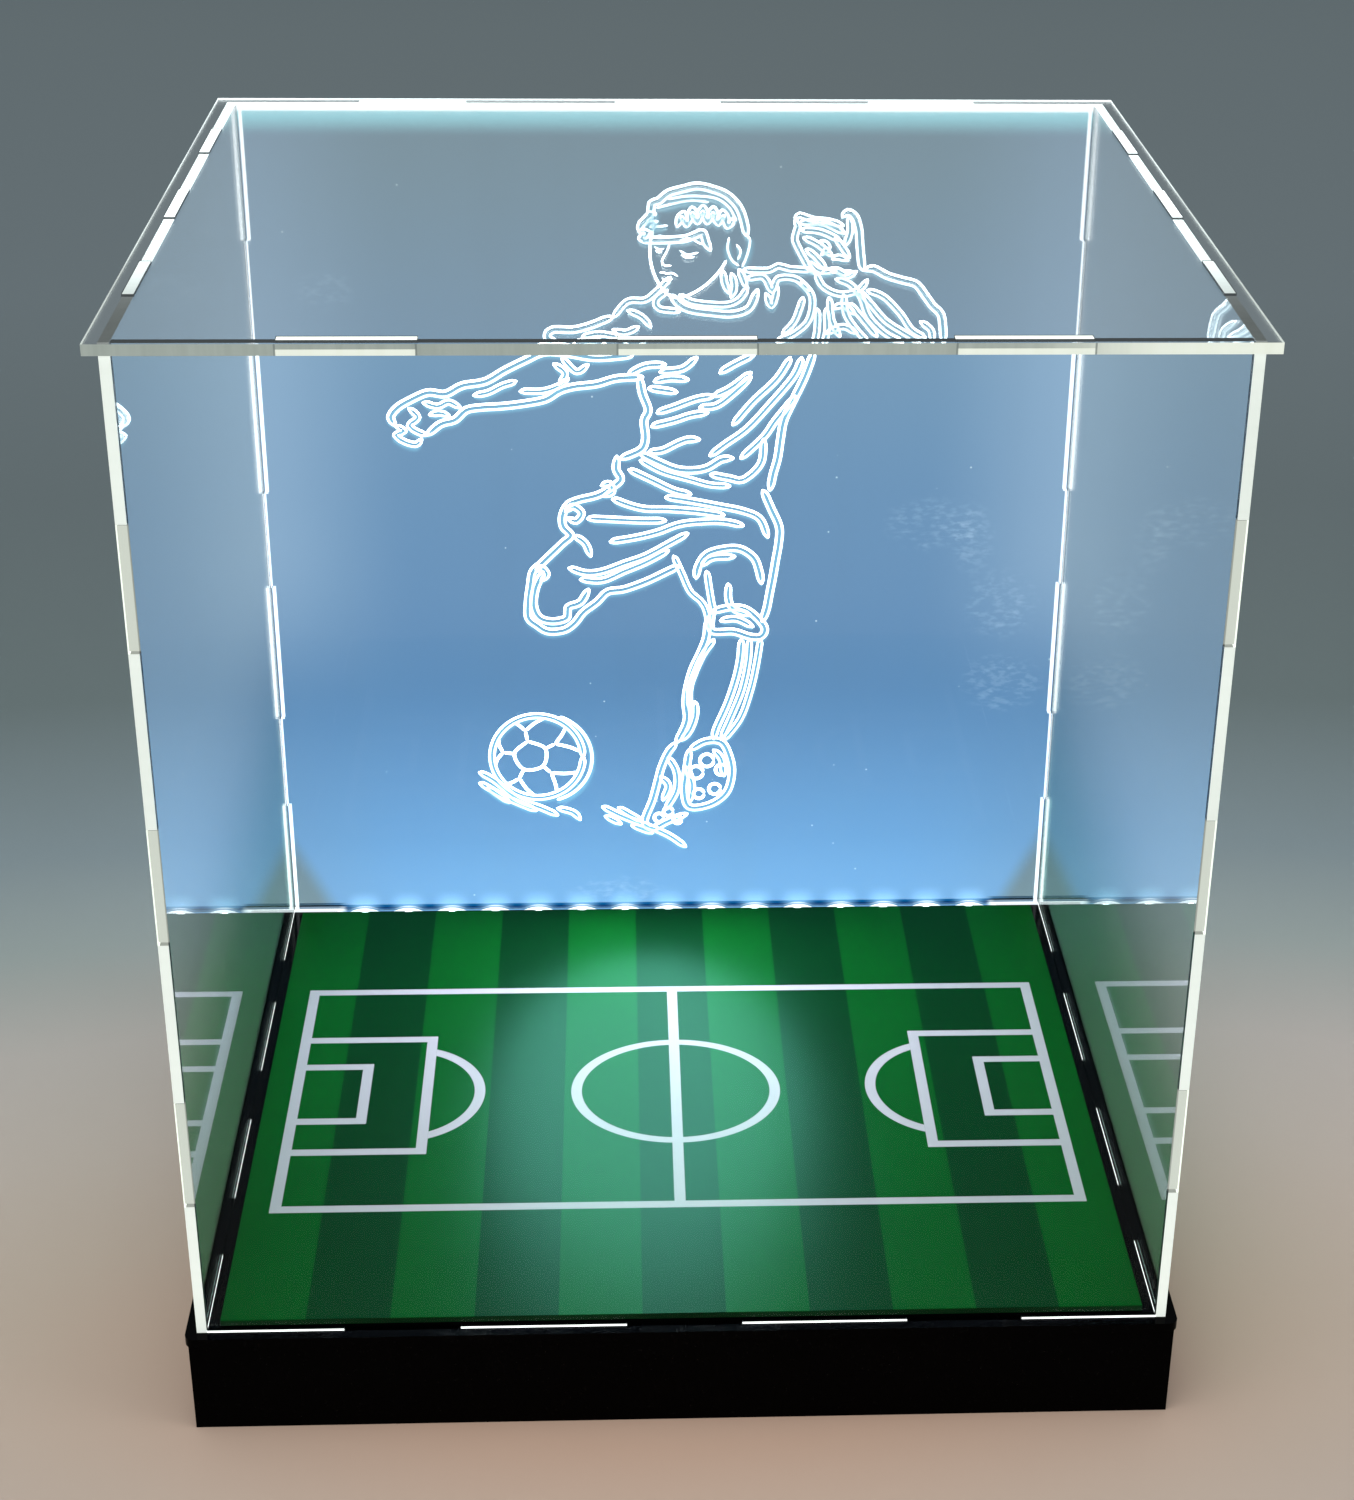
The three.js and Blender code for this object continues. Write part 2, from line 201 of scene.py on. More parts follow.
def grid_faces(rows, columns, closed=False):
    """Quads of a grid of points in row order; a closed grid's last column joins its first."""
    row, column = np.meshgrid(np.arange(rows - 1), np.arange(columns - (not closed)), indexing="ij")
    after = (column + 1) % columns
    corners = (row * columns + column, row * columns + after,
               (row + 1) * columns + after, (row + 1) * columns + column)
    return np.stack([corner.ravel() for corner in corners], 1)


floor_reach, floor_points = 12.0, 9
floor_middle_y, floor_squeeze = -0.10, 0.45
floor_light_pool_tones = [  # distance from the palest place, in metres, and the colour there of the pool of light painted on the floor
    (0.05, display(192, 162, 143)), (0.10, display(184, 166, 152)), (0.15, display(182, 169, 160)),
    (0.21, display(176, 168, 163)), (0.28, display(147, 155, 153)), (0.36, display(124, 136, 140)),
    (0.51, display(101, 112, 112)), (0.78, display(100, 110, 112)), (1.17, display(110, 120, 124)),
    (2.07, display(115, 125, 128)),
]
floor_finish = new_finish("studio_floor")
across, along, _ = floor_finish.places()
across, along = across * floor_squeeze, along - floor_middle_y
distance = (across * across + along * along) ** 0.5
grain = floor_finish.noise(3.0, 3.0) * 0.02 - 0.01
furthest = floor_light_pool_tones[-1][0]
# The floor's colour is a painted pool of light: pale near the case and slate further away.
floor_ramp = floor_finish.add(
    "ValToRGB",
    {"stops": [(place / furthest, colour) for place, colour in floor_light_pool_tones]},
    {0: distance / furthest + grain * 0.2},
)
floor_finish.surface(floor_finish.shader("BsdfPrincipled", {
    "Base Color": floor_ramp.outputs[0], "Roughness": 0.75, "Specular IOR Level": 0.1,
}))
steps = np.linspace(-floor_reach, floor_reach, floor_points)
floor_x, floor_y = np.meshgrid(steps, steps)
floor = new_piece(
    "studio_floor", np.stack([floor_x, floor_y, floor_x * 0], -1).reshape(-1, 3),
    grid_faces(floor_points, floor_points), floor_finish.owner, None, None)

room = bpy.data.worlds.new("room")
bpy.context.scene.world = room
room_finish = Finish(room)
_, _, height = room_finish.places("Generated")
room_colour = room_finish.blend(height.ramp(0.0, 0.9), display(96, 106, 110), display(205, 212, 215))
room_finish.surface(room_finish.shader("Background", {"Color": room_colour, "Strength": 1.0}))


def softbox(name, place, aim, size, watts, colour):
    """A square area light at place that faces aim."""
    lamp = bpy.data.lights.new(name, "AREA")
    lamp.shape, lamp.size, lamp.energy, lamp.color = "SQUARE", size, watts, colour
    holder = bpy.data.objects.new(name, lamp)
    from_to = np.subtract(aim, place)
    flat = math.hypot(from_to[0], from_to[1])
    holder.location = place
    holder.rotation_euler = (math.atan2(flat, -from_to[2]), 0, math.atan2(-from_to[0], from_to[1]))
    bpy.context.scene.collection.objects.link(holder)


softbox("softbox_above", (-0.5, -0.6, 2.4), (0, 0, 0.1), 1.8, 30, (1.0, 0.98, 0.96))
softbox("softbox_right", (1.9, -0.7, 1.3), (0, 0, 0.15), 1.2, 10, (1.0, 0.97, 0.93))

# ---------------------------------------------------------------------------------------------
# The cover's front and side walls and its lid are 3 mm clear cast acrylic, cut by laser. The flat
# faces are polished and the cut edges are frosted, with fine lines that run through the sheet.
# The edges carry light from the strip under the back wall, so they glow, most of all at the back:
# that glow, a haze in the walls and a bright line at their feet are painted as emission, edges
# that look unlit are painted dark, and the side walls are painted darker and greener towards the
# bottom, as painted shade.
glass_tint = (0.985, 0.995, 1.0, 1.0)
no_light = (0, 0, 0, 1)
acrylic_ior = 1.49
wall_outer_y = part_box("back_wall")[1].y


def clear_sheet(finish, gloss, haze_glow=no_light, tint_and_shade=glass_tint):
    """Polished acrylic that lets the lamps' light through; gloss is the share of its mirroring kept.
    Its emission is a painted glow, and its colour can carry painted shade.
    """
    polished = finish.shader("BsdfPrincipled", {
        "Base Color": tint_and_shade, "Roughness": 0.0, "IOR": acrylic_ior, "Transmission Weight": 1.0,
        "Specular Tint": (gloss, gloss, gloss, 1), "Emission Color": haze_glow, "Emission Strength": 0.5,
    })
    open_way = finish.shader("BsdfTransparent", {"Color": tint_and_shade})
    shadow = finish.add("LightPath").outputs["Is Shadow Ray"]
    return finish.either(shadow, polished, open_way)


def cut_edge(finish, axis, glow, joint_or_unlit):
    """A frosted cut edge, scored through the thickness, with a painted glow in its emission; the last
    argument is 1 where the edge faces another edge or is painted dark as an unlit edge.
    """
    stretch = [110.0, 110.0, 110.0]
    stretch[axis] = 5.0
    score = finish.noise(4.0, 2.0, tuple(stretch))
    frosted = finish.blend(score, display(146, 156, 150), display(186, 193, 187))
    return finish.shader("BsdfPrincipled", {
        "Base Color": finish.blend(joint_or_unlit, frosted, display(22, 28, 30)),
        "Roughness": 0.42, "Specular IOR Level": 0.3,
        "Emission Color": finish.blend(joint_or_unlit, glow, no_light), "Emission Strength": 1.0,
        "Normal": finish.relief(score, 0.00003),
    })


def flat_or_edge(finish, axis, flat, edge):
    """The sheet's flat faces, which face along the axis, and the cut edges all round and in its slots."""
    facing = finish.places("Normal")[axis]
    return finish.surface(finish.either(abs(facing) < 0.7, flat, edge))


back_low, back_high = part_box("back_wall")
lid_low, lid_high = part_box("lid_plate")
inner_x, wall_outer_x = (corner.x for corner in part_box("right_wall"))
rim = 0.5 * MM  # a face this close to a sheet's outer edge is on it


def steps_along(name, axis, beyond):
    """Where a sheet's tabs or fingers start and end along an axis, from the corners that beyond picks."""
    corners = [vertex.co for vertex in nodes[name].data.vertices if beyond(vertex.co)]
    places = sorted({round(float(corner[axis]), 5) for corner in corners})
    return list(zip(places[::2], places[1::2]))


def outside(value, spans):
    """1 where a number is in none of the spans."""
    clear = 1.0
    for low, high in spans:
        clear = (1 - (value > low) * (value < high)) * clear
    return clear


def is_foot_tab(corner):
    return corner.z < back_low.z - MM


side_tabs = steps_along("left_wall", 1, is_foot_tab)
front_tabs = steps_along("front_wall", 0, is_foot_tab)
fingers = steps_along("back_wall", 2, lambda corner: abs(corner.x) > inner_x + 2 * MM)
# The bright line where a wall stands on the base is painted light, in foot_light's glow.
foot_line = 0.7 * MM
foot_light = (3.4, 3.6, 3.5, 1)


def side_wall_finish(name):
    finish = new_finish(name)
    x, y, z = finish.places()
    at_top, at_end = z > lid_low.z - rim, abs(y) > wall_outer_y - rim
    # Painted glow on the cut edges: dim at the front of the top edge, bright towards the back and at the
    # ends, in patches. Faces in joints and the front of the top edge are painted dark as unlit.
    on_top = finish.blend(y.ramp(-0.12, -0.01), (0.10, 0.11, 0.10, 1), (1.3, 1.45, 1.5, 1))
    ends = finish.blend(y > 0.0, (0.68, 0.72, 0.66, 1), (1.2, 1.35, 1.4, 1))
    glow = finish.blend(at_end, on_top, ends)
    unlit = (1 - (at_top | at_end)) | at_top * (y < side_tabs[0][0]) * 0.7
    patches = finish.noise(9.0, 2.0) * 0.5 + 0.75
    glow = finish.blend(patches & 1.0, no_light, glow)
    # A painted haze of glow in the sheet above 9 cm, and a painted bright line of light along its foot.
    hazy_glow = finish.blend(z.ramp(0.09, 0.20), no_light, (0.060, 0.080, 0.088, 1))
    foot = (z < back_low.z + foot_line) * outside(y, side_tabs) * (abs(x) < inner_x + rim)
    hazy_glow = finish.blend(foot, hazy_glow, foot_light)
    # Painted shade: the sheet is darker and greener towards the bottom.
    tint_and_shade = finish.blend(z.ramp(0.07, 0.165), (0.36, 0.62, 0.54, 1), glass_tint)
    clear = clear_sheet(finish, 1.0, hazy_glow, tint_and_shade)
    return flat_or_edge(finish, 0, clear, cut_edge(finish, 0, glow, unlit))


def front_wall_finish(name):
    finish = new_finish(name)
    x, y, z = finish.places()
    tab_top, at_end = z > lid_high.z - rim, abs(x) > wall_outer_x - rim
    # Painted glow on the cut edges, brighter at the ends; a painted glow in the sheet beyond the side
    # walls' inner faces, and a painted bright line of light along its foot.
    glow = finish.blend(at_end, (0.85, 0.90, 0.84, 1), (0.62, 0.66, 0.58, 1))
    unlit = 1 - (tab_top | at_end)
    foot = (z < back_low.z + foot_line) * outside(x, front_tabs) * (y < rim - wall_outer_y)
    hazy_glow = finish.blend(abs(x) > inner_x, no_light, (0.60, 0.64, 0.56, 1))
    hazy_glow = finish.blend(foot, hazy_glow, foot_light)
    return flat_or_edge(finish, 1, clear_sheet(finish, 0.0, hazy_glow), cut_edge(finish, 1, glow, unlit))


def lid_finish(name):
    finish = new_finish(name)
    x, y, z = finish.places()
    at_front, at_back = y < lid_low.y + rim, y > wall_outer_y - 4 * MM
    at_side = abs(x) > lid_high.x - rim
    # Painted glow on the cut edges: in patches and brighter over the tabs at the front, dark at the tab
    # ends, brightening towards the back and brightest along the back edge.
    patches = finish.noise(7.0, 1.0, (1.0, 0.1, 0.1)).ramp(0.45, 0.60)
    over_tab = (1 - outside(x, front_tabs)) * (z < lid_low.z + 1.6 * MM)
    front = finish.blend(patches | over_tab, (0.17, 0.185, 0.16, 1), (0.66, 0.68, 0.58, 1))
    for start, end in front_tabs:
        tick = (abs(x - start) < 0.25 * MM) | (abs(x - end) < 0.25 * MM)
        front = finish.blend(tick * 0.8, front, no_light)
    side = finish.blend(y.ramp(-0.13, 0.13), (0.50, 0.54, 0.50, 1), (1.1, 1.2, 1.2, 1))
    glow = finish.blend(at_front, side, front)
    glow = finish.blend(at_back, glow, (1.3, 1.4, 1.45, 1))
    edge = cut_edge(finish, 2, glow, 1 - (at_front | at_back | at_side))
    return flat_or_edge(finish, 2, clear_sheet(finish, 1.0), edge)


paint(side_wall_finish("clear_acrylic_side"), "left_wall", "right_wall")
paint(front_wall_finish("clear_acrylic_front"), "front_wall")
paint(lid_finish("clear_acrylic_lid"), "lid_plate")

# ---------------------------------------------------------------------------------------------
# The back wall is the engraved sheet. It stands on the strip of LEDs, whose light runs up inside
# it: dust, scratches and finger marks on its faces scatter a blue haze, strongest at the bottom
# between the first and the last LED, and the light spreads from there in a fan. All of this light is
# painted as the sheet's emission: the haze, glints on dust specks, glowing patches on finger marks,
# blooms and spots over the LEDs and white lines at the foot, sides and top. Dark bands at the foot
# are painted shade, in its emission and its colour.
led_names = [name for name in nodes if name.startswith("led_") and name[4:].isdigit()]
led_low, led_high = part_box("led_01")
led_first_x = (led_low.x + led_high.x) / 2
led_last_x = -led_first_x
led_pitch = (led_last_x - led_first_x) / (len(led_names) - 1)
wall_height = back_high.z - back_low.z
glowing_smudges = [  # x, z in metres, half width and half height of a finger mark on the back wall, which is painted as a patch of glow
    (0.095, 0.191, 0.020, 0.012), (0.122, 0.160, 0.016, 0.016), (0.124, 0.128, 0.018, 0.014),
    (-0.019, 0.042, 0.022, 0.007), (0.110, 0.185, 0.010, 0.016), (-0.118, 0.275, 0.012, 0.008),
]


def from_nearest_led(x):
    """The distance along the row from the nearest LED's middle."""
    return abs((x - led_first_x + led_pitch / 2) % led_pitch - led_pitch / 2)


def engraved_sheet(name):
    finish = new_finish(name)
    x, _, z = finish.places()
    away, above = abs(x), z - back_low.z
    up = above / wall_height
    # Painted glow of the strip's light in the sheet: a fan with streaks, brighter glints on some dust
    # specks and glowing patches on the finger marks.
    fan = 1 - (away - (led_last_x + 0.010 + above * 0.5)).ramp(-0.004, 0.006)
    glow_streaks = finish.noise(60.0, 1.0, (1.0, 1.0, 0.05)) * 0.16 + 0.92
    dust = finish.add("TexVoronoi", {"feature": "F1"}, {
        "Vector": finish.add("TexCoord").outputs["Object"], "Scale": 95.0})
    glinting_speck = finish.number(dust, 0) < 0.034
    glint_pick = finish.noise(23.0, 1.0) > 0.54 - x.ramp(-0.02, 0.06) * (1 - up.ramp(0.1, 0.5)) * 0.10
    smudge_glow = 0.0
    for mark_x, mark_z, half_wide, half_high in glowing_smudges:
        aside, over = (x - mark_x) / half_wide, (z - mark_z) / half_high
        smudge_glow = smudge_glow + (1 - (aside * aside + over * over).ramp(0.15, 1.0))
    smudge_glow = smudge_glow * finish.noise(260.0, 4.0, (1.0, 1.0, 2.2)).ramp(0.5, 0.68)
    haze_glow = finish.add("ValToRGB", {"stops": [
        (0.0, (0.0, 0.200, 0.560, 1)), (0.10, (0.0, 0.170, 0.480, 1)),
        (0.28, (0.0, 0.095, 0.300, 1)), (0.42, (0.035, 0.140, 0.335, 1)),
        (0.66, (0.075, 0.180, 0.340, 1)), (0.85, (0.105, 0.195, 0.285, 1)),
        (1.0, (0.130, 0.215, 0.270, 1))]}, {0: up}, "B_SPLINE").outputs[0]
    outer = away.ramp(0.088, 0.150)
    haze_glow = finish.blend(outer * (1 - up.ramp(0.0, 0.45)) * 0.35, haze_glow, (0.03, 0.10, 0.20, 1))
    haze_glow = finish.blend(outer * up.ramp(0.25, 0.5) * 0.6, haze_glow, (0.24, 0.36, 0.52, 1))
    lit = finish.blend(fan * glow_streaks, (0.0, 0.030, 0.060, 1), haze_glow)
    lit = finish.blend(smudge_glow * 0.20 & 0.4, lit, (0.55, 0.75, 0.95, 1))
    lit = finish.blend(glinting_speck * glint_pick, lit, (0.8, 0.95, 1.0, 1))
    # Painted light and shade at the foot: a dark band over the strip and darker ones over the seats at the
    # ends, a bloom and a spot of light over each LED, a bright blue line at the very bottom and white
    # lines of light at the seats.
    from_led = from_nearest_led(x)
    over_strip = 1 - away.ramp(led_last_x + 0.006, led_last_x + 0.010)
    dark_foot_band = 1 - above.ramp(0.0015, 0.0024)
    lit = finish.blend(dark_foot_band * over_strip, lit, (0.0, 0.030, 0.130, 1))
    bloom = (1 - above.ramp(0.0, 0.009)) * (1 - from_led.ramp(0.001, 0.008)) * over_strip
    lit = finish.blend(bloom * 0.55, lit, (0.40, 0.90, 1.4, 1))
    lens = from_led / 0.0056
    spot = above < (1 - lens * lens) * 0.0013
    lit_seat = (above < 1.3 * MM) * (1 - over_strip)
    dark_seat_band = (above < 2.9 * MM) * (1 - over_strip) * (away < inner_x - 2 * MM)
    # Painted white lines of light along the sides and below the top, with a painted glow under the top.
    no_finger = outside(z, fingers)
    lit_lip = (away > inner_x - 1.7 * MM) * (away < inner_x - 0.6 * MM) * no_finger
    lit_lip = lit_lip | (away > inner_x - 0.6 * MM) * (away < inner_x - 0.1 * MM) * (1 - no_finger)
    from_lid = lid_low.z - z
    lit = finish.blend((1 - from_lid.ramp(0.002, 0.011)) * 0.85, lit, (0.45, 1.05, 1.15, 1))
    lit = finish.blend(dark_seat_band, lit, (0.0, 0.004, 0.010, 1))
    lit = finish.blend((above < 0.5 * MM) * over_strip, lit, (0.22, 0.55, 1.0, 1))
    white = lit_lip | spot * over_strip | lit_seat | (from_lid < 2.2 * MM)
    lit = finish.blend(white, lit, (1.9, 2.0, 2.05, 1))
    # Painted shade: the sheet's colour is dark over the dark bands.
    painted_dark = (dark_seat_band | dark_foot_band * over_strip) * (1 - white)
    tint_and_shade = finish.blend(painted_dark, (0.88, 0.975, 1.0, 1), (0.06, 0.11, 0.18, 1))
    clear = clear_sheet(finish, 0.2, lit, tint_and_shade)
    # A painted glow on the cut edge along the foot.
    at_foot = z < back_low.z + rim
    edge_glow = finish.blend(at_foot, (1.3, 1.4, 1.45, 1), (0.005, 0.02, 0.06, 1))
    unlit = 1 - ((z > lid_low.z - rim) | at_foot | (away > inner_x + 2 * MM))
    return flat_or_edge(finish, 1, clear, cut_edge(finish, 1, edge_glow, unlit))


paint(engraved_sheet("engraved_acrylic"), "back_wall")

# ---------------------------------------------------------------------------------------------
# The engraving is cut by the laser into the back wall's rear face, as shallow frosted grooves that
# catch the strip's light and shine white: a footballer in mid kick, the ball and the turf. Their
# shine is painted as emission, with a painted glow just below each line.
# Points are millimetres across the wall from its middle and up from the top of the base.
figure = {
    "hair": [
        [(-10, 261), (-9, 263.5), (-6, 267), (-5.5, 270.5), (-3, 271.5), (0, 274), (5, 275.5),
         (10, 276.5), (15, 275.5), (20, 273.5), (24, 269.5), (26, 264.5), (27, 259.5)],
        [(-10, 261), (-7, 260.5), (-9, 258.5), (-6, 258), (0, 258), (6, 258.5), (10, 260),
         (12, 260.5), (13, 257.5), (14.5, 254.5)],
        [(-7, 268), (-4, 267), (-7, 264.5), (-3.5, 264.5), (-6, 262.5), (0, 263)],
        [(0, 272), (6, 273), (12, 273), (17, 272), (21, 269), (23.5, 264.5)],
        [(3, 262.5), (5, 267), (6.5, 263.5), (8.5, 268.5), (10, 264.5), (12, 269), (13.5, 264.5),
         (15.5, 268.5), (17, 264), (19, 267.5), (20.5, 263), (22.5, 265.5)],
        [(-4, 269), (2, 270.5), (8, 271.5), (14, 271)],
    ],
    "ear": [
        [(26, 260), (28, 258.5), (28, 256), (27, 252), (25.5, 248.5)],
        [(21, 259), (20.5, 255), (22, 251), (24.5, 249)], [(23.5, 256.5), (25, 254), (24, 251)],
    ],
    "collar": [
        [(1, 239), (4, 235.5), (8, 233.5), (15, 232.5), (22, 232), (28, 234), (31, 240.5)],
        [(4, 239), (8, 236.5), (15, 235.5), (21, 235.5), (25, 237.5), (27.5, 241.5)],
        [(19, 247.5), (19.5, 243.5), (21, 239.5)], [(24.5, 248), (26, 244.5), (27, 241.5)],
        [(22, 246.5), (23, 242), (22, 238)],
    ],
    "shoulders": [
        [(26, 248), (28, 247.5), (35, 247.5), (38, 249), (42, 248), (50, 247.5)],
        [(27, 244.5), (33, 245), (36, 240.5), (38, 244.5), (44, 244.5), (49, 240.5)],
        [(1, 245), (-4, 240), (-8, 237), (-14, 236.5), (-19, 231)],
        [(0, 240.5), (-4, 237), (-3, 234), (4, 233)], [(-14, 233.5), (-9, 231), (-6, 227.5)],
        [(34, 239.5), (36, 235), (38, 241.5)], [(46, 243.5), (50, 238), (49, 230), (44, 225), (38, 222.5)],
        [(52, 234), (52, 226.5), (51, 221)], [(55, 234), (55.5, 226.5), (54.5, 221)],
        [(47, 238), (44, 229.5), (40, 225)],
    ],
    "raised_hand": [
        [(43.5, 265), (45, 266.5), (50, 265), (55, 264.5), (60, 263)],
        [(59.5, 266), (61.5, 267.5), (64, 266), (65.5, 261.5), (66, 256.5), (67, 249), (68, 247.5)],
        [(43.5, 265), (44.5, 262.5), (43.5, 258.5), (46, 253), (49, 248), (51, 246.5)],
        [(53, 246.5), (58, 247.5), (62, 245.5), (65, 247)],
        [(45, 264), (53, 264), (60.5, 260.5)], [(45.5, 261.5), (52, 261), (59, 258)],
        [(46.5, 259), (51.5, 256.5), (56.5, 252.5)], [(47.5, 255), (51, 252), (54.5, 248)],
        [(52.5, 258), (55, 255.5), (53, 253)], [(57.5, 259), (60, 255.5), (62.5, 252)],
        [(56.5, 251.5), (59, 252), (62, 251)], [(57.5, 248.5), (60.5, 246.5), (63.5, 247)],
        [(62, 266), (62.5, 261), (61, 256)], [(48.5, 250.5), (52, 247.5), (57, 247)],
    ],
    "right_arm": [
        [(68, 247.5), (71, 248), (76, 245.5), (81, 244), (86, 242.5), (89, 239), (92, 235),
         (95, 232), (96, 227.5), (96.5, 222)],
        [(51, 246.5), (54, 241.5), (60, 239), (66, 240.5), (69, 244)],
        [(58, 244.5), (63, 242.5), (67, 238), (70, 231), (76, 225), (82, 222)],
        [(69, 240.5), (75, 238), (81, 232), (85, 226.5), (90, 223.5)],
        [(66, 240.5), (71, 235), (76, 229.5), (83, 225), (88, 222)],
        [(61, 239), (62, 232), (66, 226), (70, 222)], [(56, 238), (57, 230), (60, 224)],
        [(88, 229.5), (92, 226), (92.5, 222)], [(55, 225), (61, 227.5), (66, 225)],
        [(63, 236), (68, 230), (73, 224)], [(57, 234), (61, 235), (65, 232)],
    ],
    "left_arm": [
        [(-19, 231), (-22, 230), (-27, 228), (-33, 226.5), (-40, 226.5), (-42, 224), (-38, 221)],
        [(-12, 220), (-25, 219), (-35, 220.5), (-43, 221), (-50, 218), (-57, 214.5), (-64, 210.5),
         (-72, 209), (-78, 206), (-84, 206.5), (-90, 204), (-95, 201), (-97.5, 197.5), (-96, 194.5)],
        [(-96, 194.5), (-93, 192.5), (-96, 191), (-93, 188.5), (-89, 187.5), (-87, 189.5)],
        [(-91, 201), (-88, 197.5), (-91, 194.5), (-88, 192), (-85, 191)],
        [(-85, 191), (-80, 195), (-75, 196.5), (-71, 200), (-66, 201), (-58, 201.5), (-50, 202.5),
         (-43, 204), (-38, 207), (-33, 208.5), (-25, 209.5), (-18, 211.5), (-9, 212)],
        [(-53, 210.5), (-58, 209), (-63, 206.5), (-68, 205.5)],
        [(-52, 207), (-44, 207), (-38, 209), (-35, 211.5)],
        [(-86, 203), (-81, 201.5), (-77, 203), (-73, 201)], [(-84, 198.5), (-80, 199), (-77, 198)],
        [(-30, 224), (-24, 225), (-17, 224)], [(-33, 222), (-27, 222.5), (-22, 222)],
        [(-40, 217), (-36, 213.5), (-38, 209.5)], [(-37, 219), (-32, 214), (-28, 216.5)],
        [(-10, 227.5), (-15, 225.5), (-19, 226.5)], [(-7, 223.5), (-12, 222), (-16, 223.5)],
    ],
    "torso": [
        [(-10, 212), (-9, 206), (-7, 200), (-8.5, 196), (-8, 190), (-9, 186), (-12, 184), (-17, 182)],
        [(51, 221), (48, 212), (44, 203), (41, 196), (40, 190), (39, 182), (37.5, 176), (36.5, 170)],
        [(-10, 184), (-3, 180.5), (3, 178), (9, 177.5), (14, 178.5), (19, 181.5), (23, 182)],
        [(-10, 181.5), (-2, 177), (8, 174), (15, 172), (22, 171.5)],
    ],
    "legs": [
        [(-18, 183), (-18.5, 178), (-17, 174), (-22, 170), (-26, 168), (-32, 166.5), (-36, 164.5),
         (-38, 160), (-37.5, 156), (-35, 153), (-38, 150), (-42, 146), (-46, 142), (-49, 139),
         (-50, 134), (-51, 127), (-51, 121), (-48, 118), (-44, 115.5), (-38, 116), (-34, 119),
         (-31, 123), (-26, 127), (-22, 131), (-16, 132), (-8, 135), (0, 139), (4, 141)],
        [(-45, 139), (-48, 133), (-49, 126), (-47, 121), (-42, 119.5), (-37, 121), (-36.5, 125),
         (-32, 127), (-29, 132)],
        [(10, 136), (11, 141), (14, 145.5), (20, 147.5), (26, 147.5), (31, 144), (33, 139), (34, 134)],
        [(34, 170), (37, 163), (40, 156), (40, 150), (39, 143), (38, 136), (37, 130), (36, 124),
         (34.5, 119)],
        [(2, 145), (5, 138), (8, 131), (12, 127), (14, 123), (15, 117)],
        [(14, 139), (15, 132), (16, 126), (17, 122)],
        [(16, 123), (22, 124.5), (28, 124), (33, 120), (35.5, 116), (34, 113), (30, 113), (24, 115),
         (16, 115.5), (16, 123)],
        [(14.5, 120), (14, 113), (12, 107), (9, 100), (7, 92), (6.5, 86), (7, 80), (5.5, 75), (3, 70)],
        [(17, 112), (13, 106), (10, 99), (8, 92), (8, 84)],
        [(34, 112), (32.5, 101), (30.5, 91), (27, 80), (21, 71)],
        [(30, 112), (29.5, 103), (27.5, 92), (24, 82), (20, 72)],
    ],
    "boot": [
        [(3, 70), (0, 66), (-2.5, 60), (-4, 54), (-6, 46), (-9, 37), (-6, 34), (0, 37), (7, 40)],
        [(8, 67), (14, 70.5), (20, 70), (23, 64), (24, 57), (22, 49), (16, 44), (8, 43), (6, 50),
         (7, 60), (8, 67)],
    ],
}
folds = [  # creases and strokes, one line each
    [(43, 219), (38, 211), (30, 203), (23, 194.5)], [(47, 219), (44, 212), (36, 202), (28, 193),
     (20, 187), (15, 183)], [(45, 205), (38, 196), (34, 190), (26, 182)],
    [(-14, 213), (-8, 216), (-1, 216.5)], [(-3, 214), (5, 215), (10, 219)],
    [(-5, 210.5), (1, 211.5), (7, 211)], [(-7, 208), (3, 206.5)],
    [(-4, 199), (2, 201), (10, 204), (16, 205)], [(16, 205), (22, 208), (29, 213.5)],
    [(-6, 194), (2, 196), (8, 198), (14, 199)], [(-7, 184.5), (-2, 185), (3, 187.5), (7, 189),
     (11, 189)], [(18, 213.5), (24, 217), (30, 220)], [(11, 201), (17, 201.5), (23, 206), (29, 212)],
    [(-14, 178), (-6, 174), (2, 170), (8, 168.5)], [(15, 176), (22, 174.5), (27, 174), (33, 180),
     (34, 189)], [(-20, 167), (-14, 164.5), (-8, 163), (0, 162.8), (10, 162), (20, 160.5)],
    [(-1, 167.5), (8, 166), (18, 164), (27, 162), (33, 159), (36, 152)],
    [(-29, 159.5), (-20, 159), (-10, 158.5), (-1, 158.5)],
    [(-21, 150.5), (-12, 152), (-4, 154), (4, 157), (12, 158), (20, 158), (27, 156.5)],
    [(-36, 140.5), (-30, 138.5), (-24, 139), (-16, 142), (-8, 145), (0, 149.5), (7, 153.5)],
    [(-32, 136), (-24, 135.5), (-16, 139), (-8, 142.5), (0, 147)],
    [(-37, 162), (-34, 164), (-31, 161.5), (-33, 158.5), (-36, 159.5)],
    [(-24, 172), (-21, 172.5), (-20, 169.5), (-23, 168)],
    [(-48, 139), (-46, 140.5), (-44, 138), (-46, 135.5)], [(-34, 153), (-30, 150), (-28, 145)],
    [(22, 134), (22, 128), (24, 124), (30, 121.5)], [(12, 141), (16, 144), (24, 144.5)],
    [(19, 119.5), (25, 120), (31, 117)], [(10, 87), (10, 81), (8, 75), (5, 71)],
    [(27, 112), (26.5, 104), (25, 96), (22, 86), (18, 76), (17, 71.5)],
    [(0, 64), (3, 58), (3, 50), (-1, 42)], [(-3, 56), (0, 52), (-2, 46)], [(7, 60), (9, 52), (8, 45)],
    [(17, 67), (20, 63), (21, 56)],
]
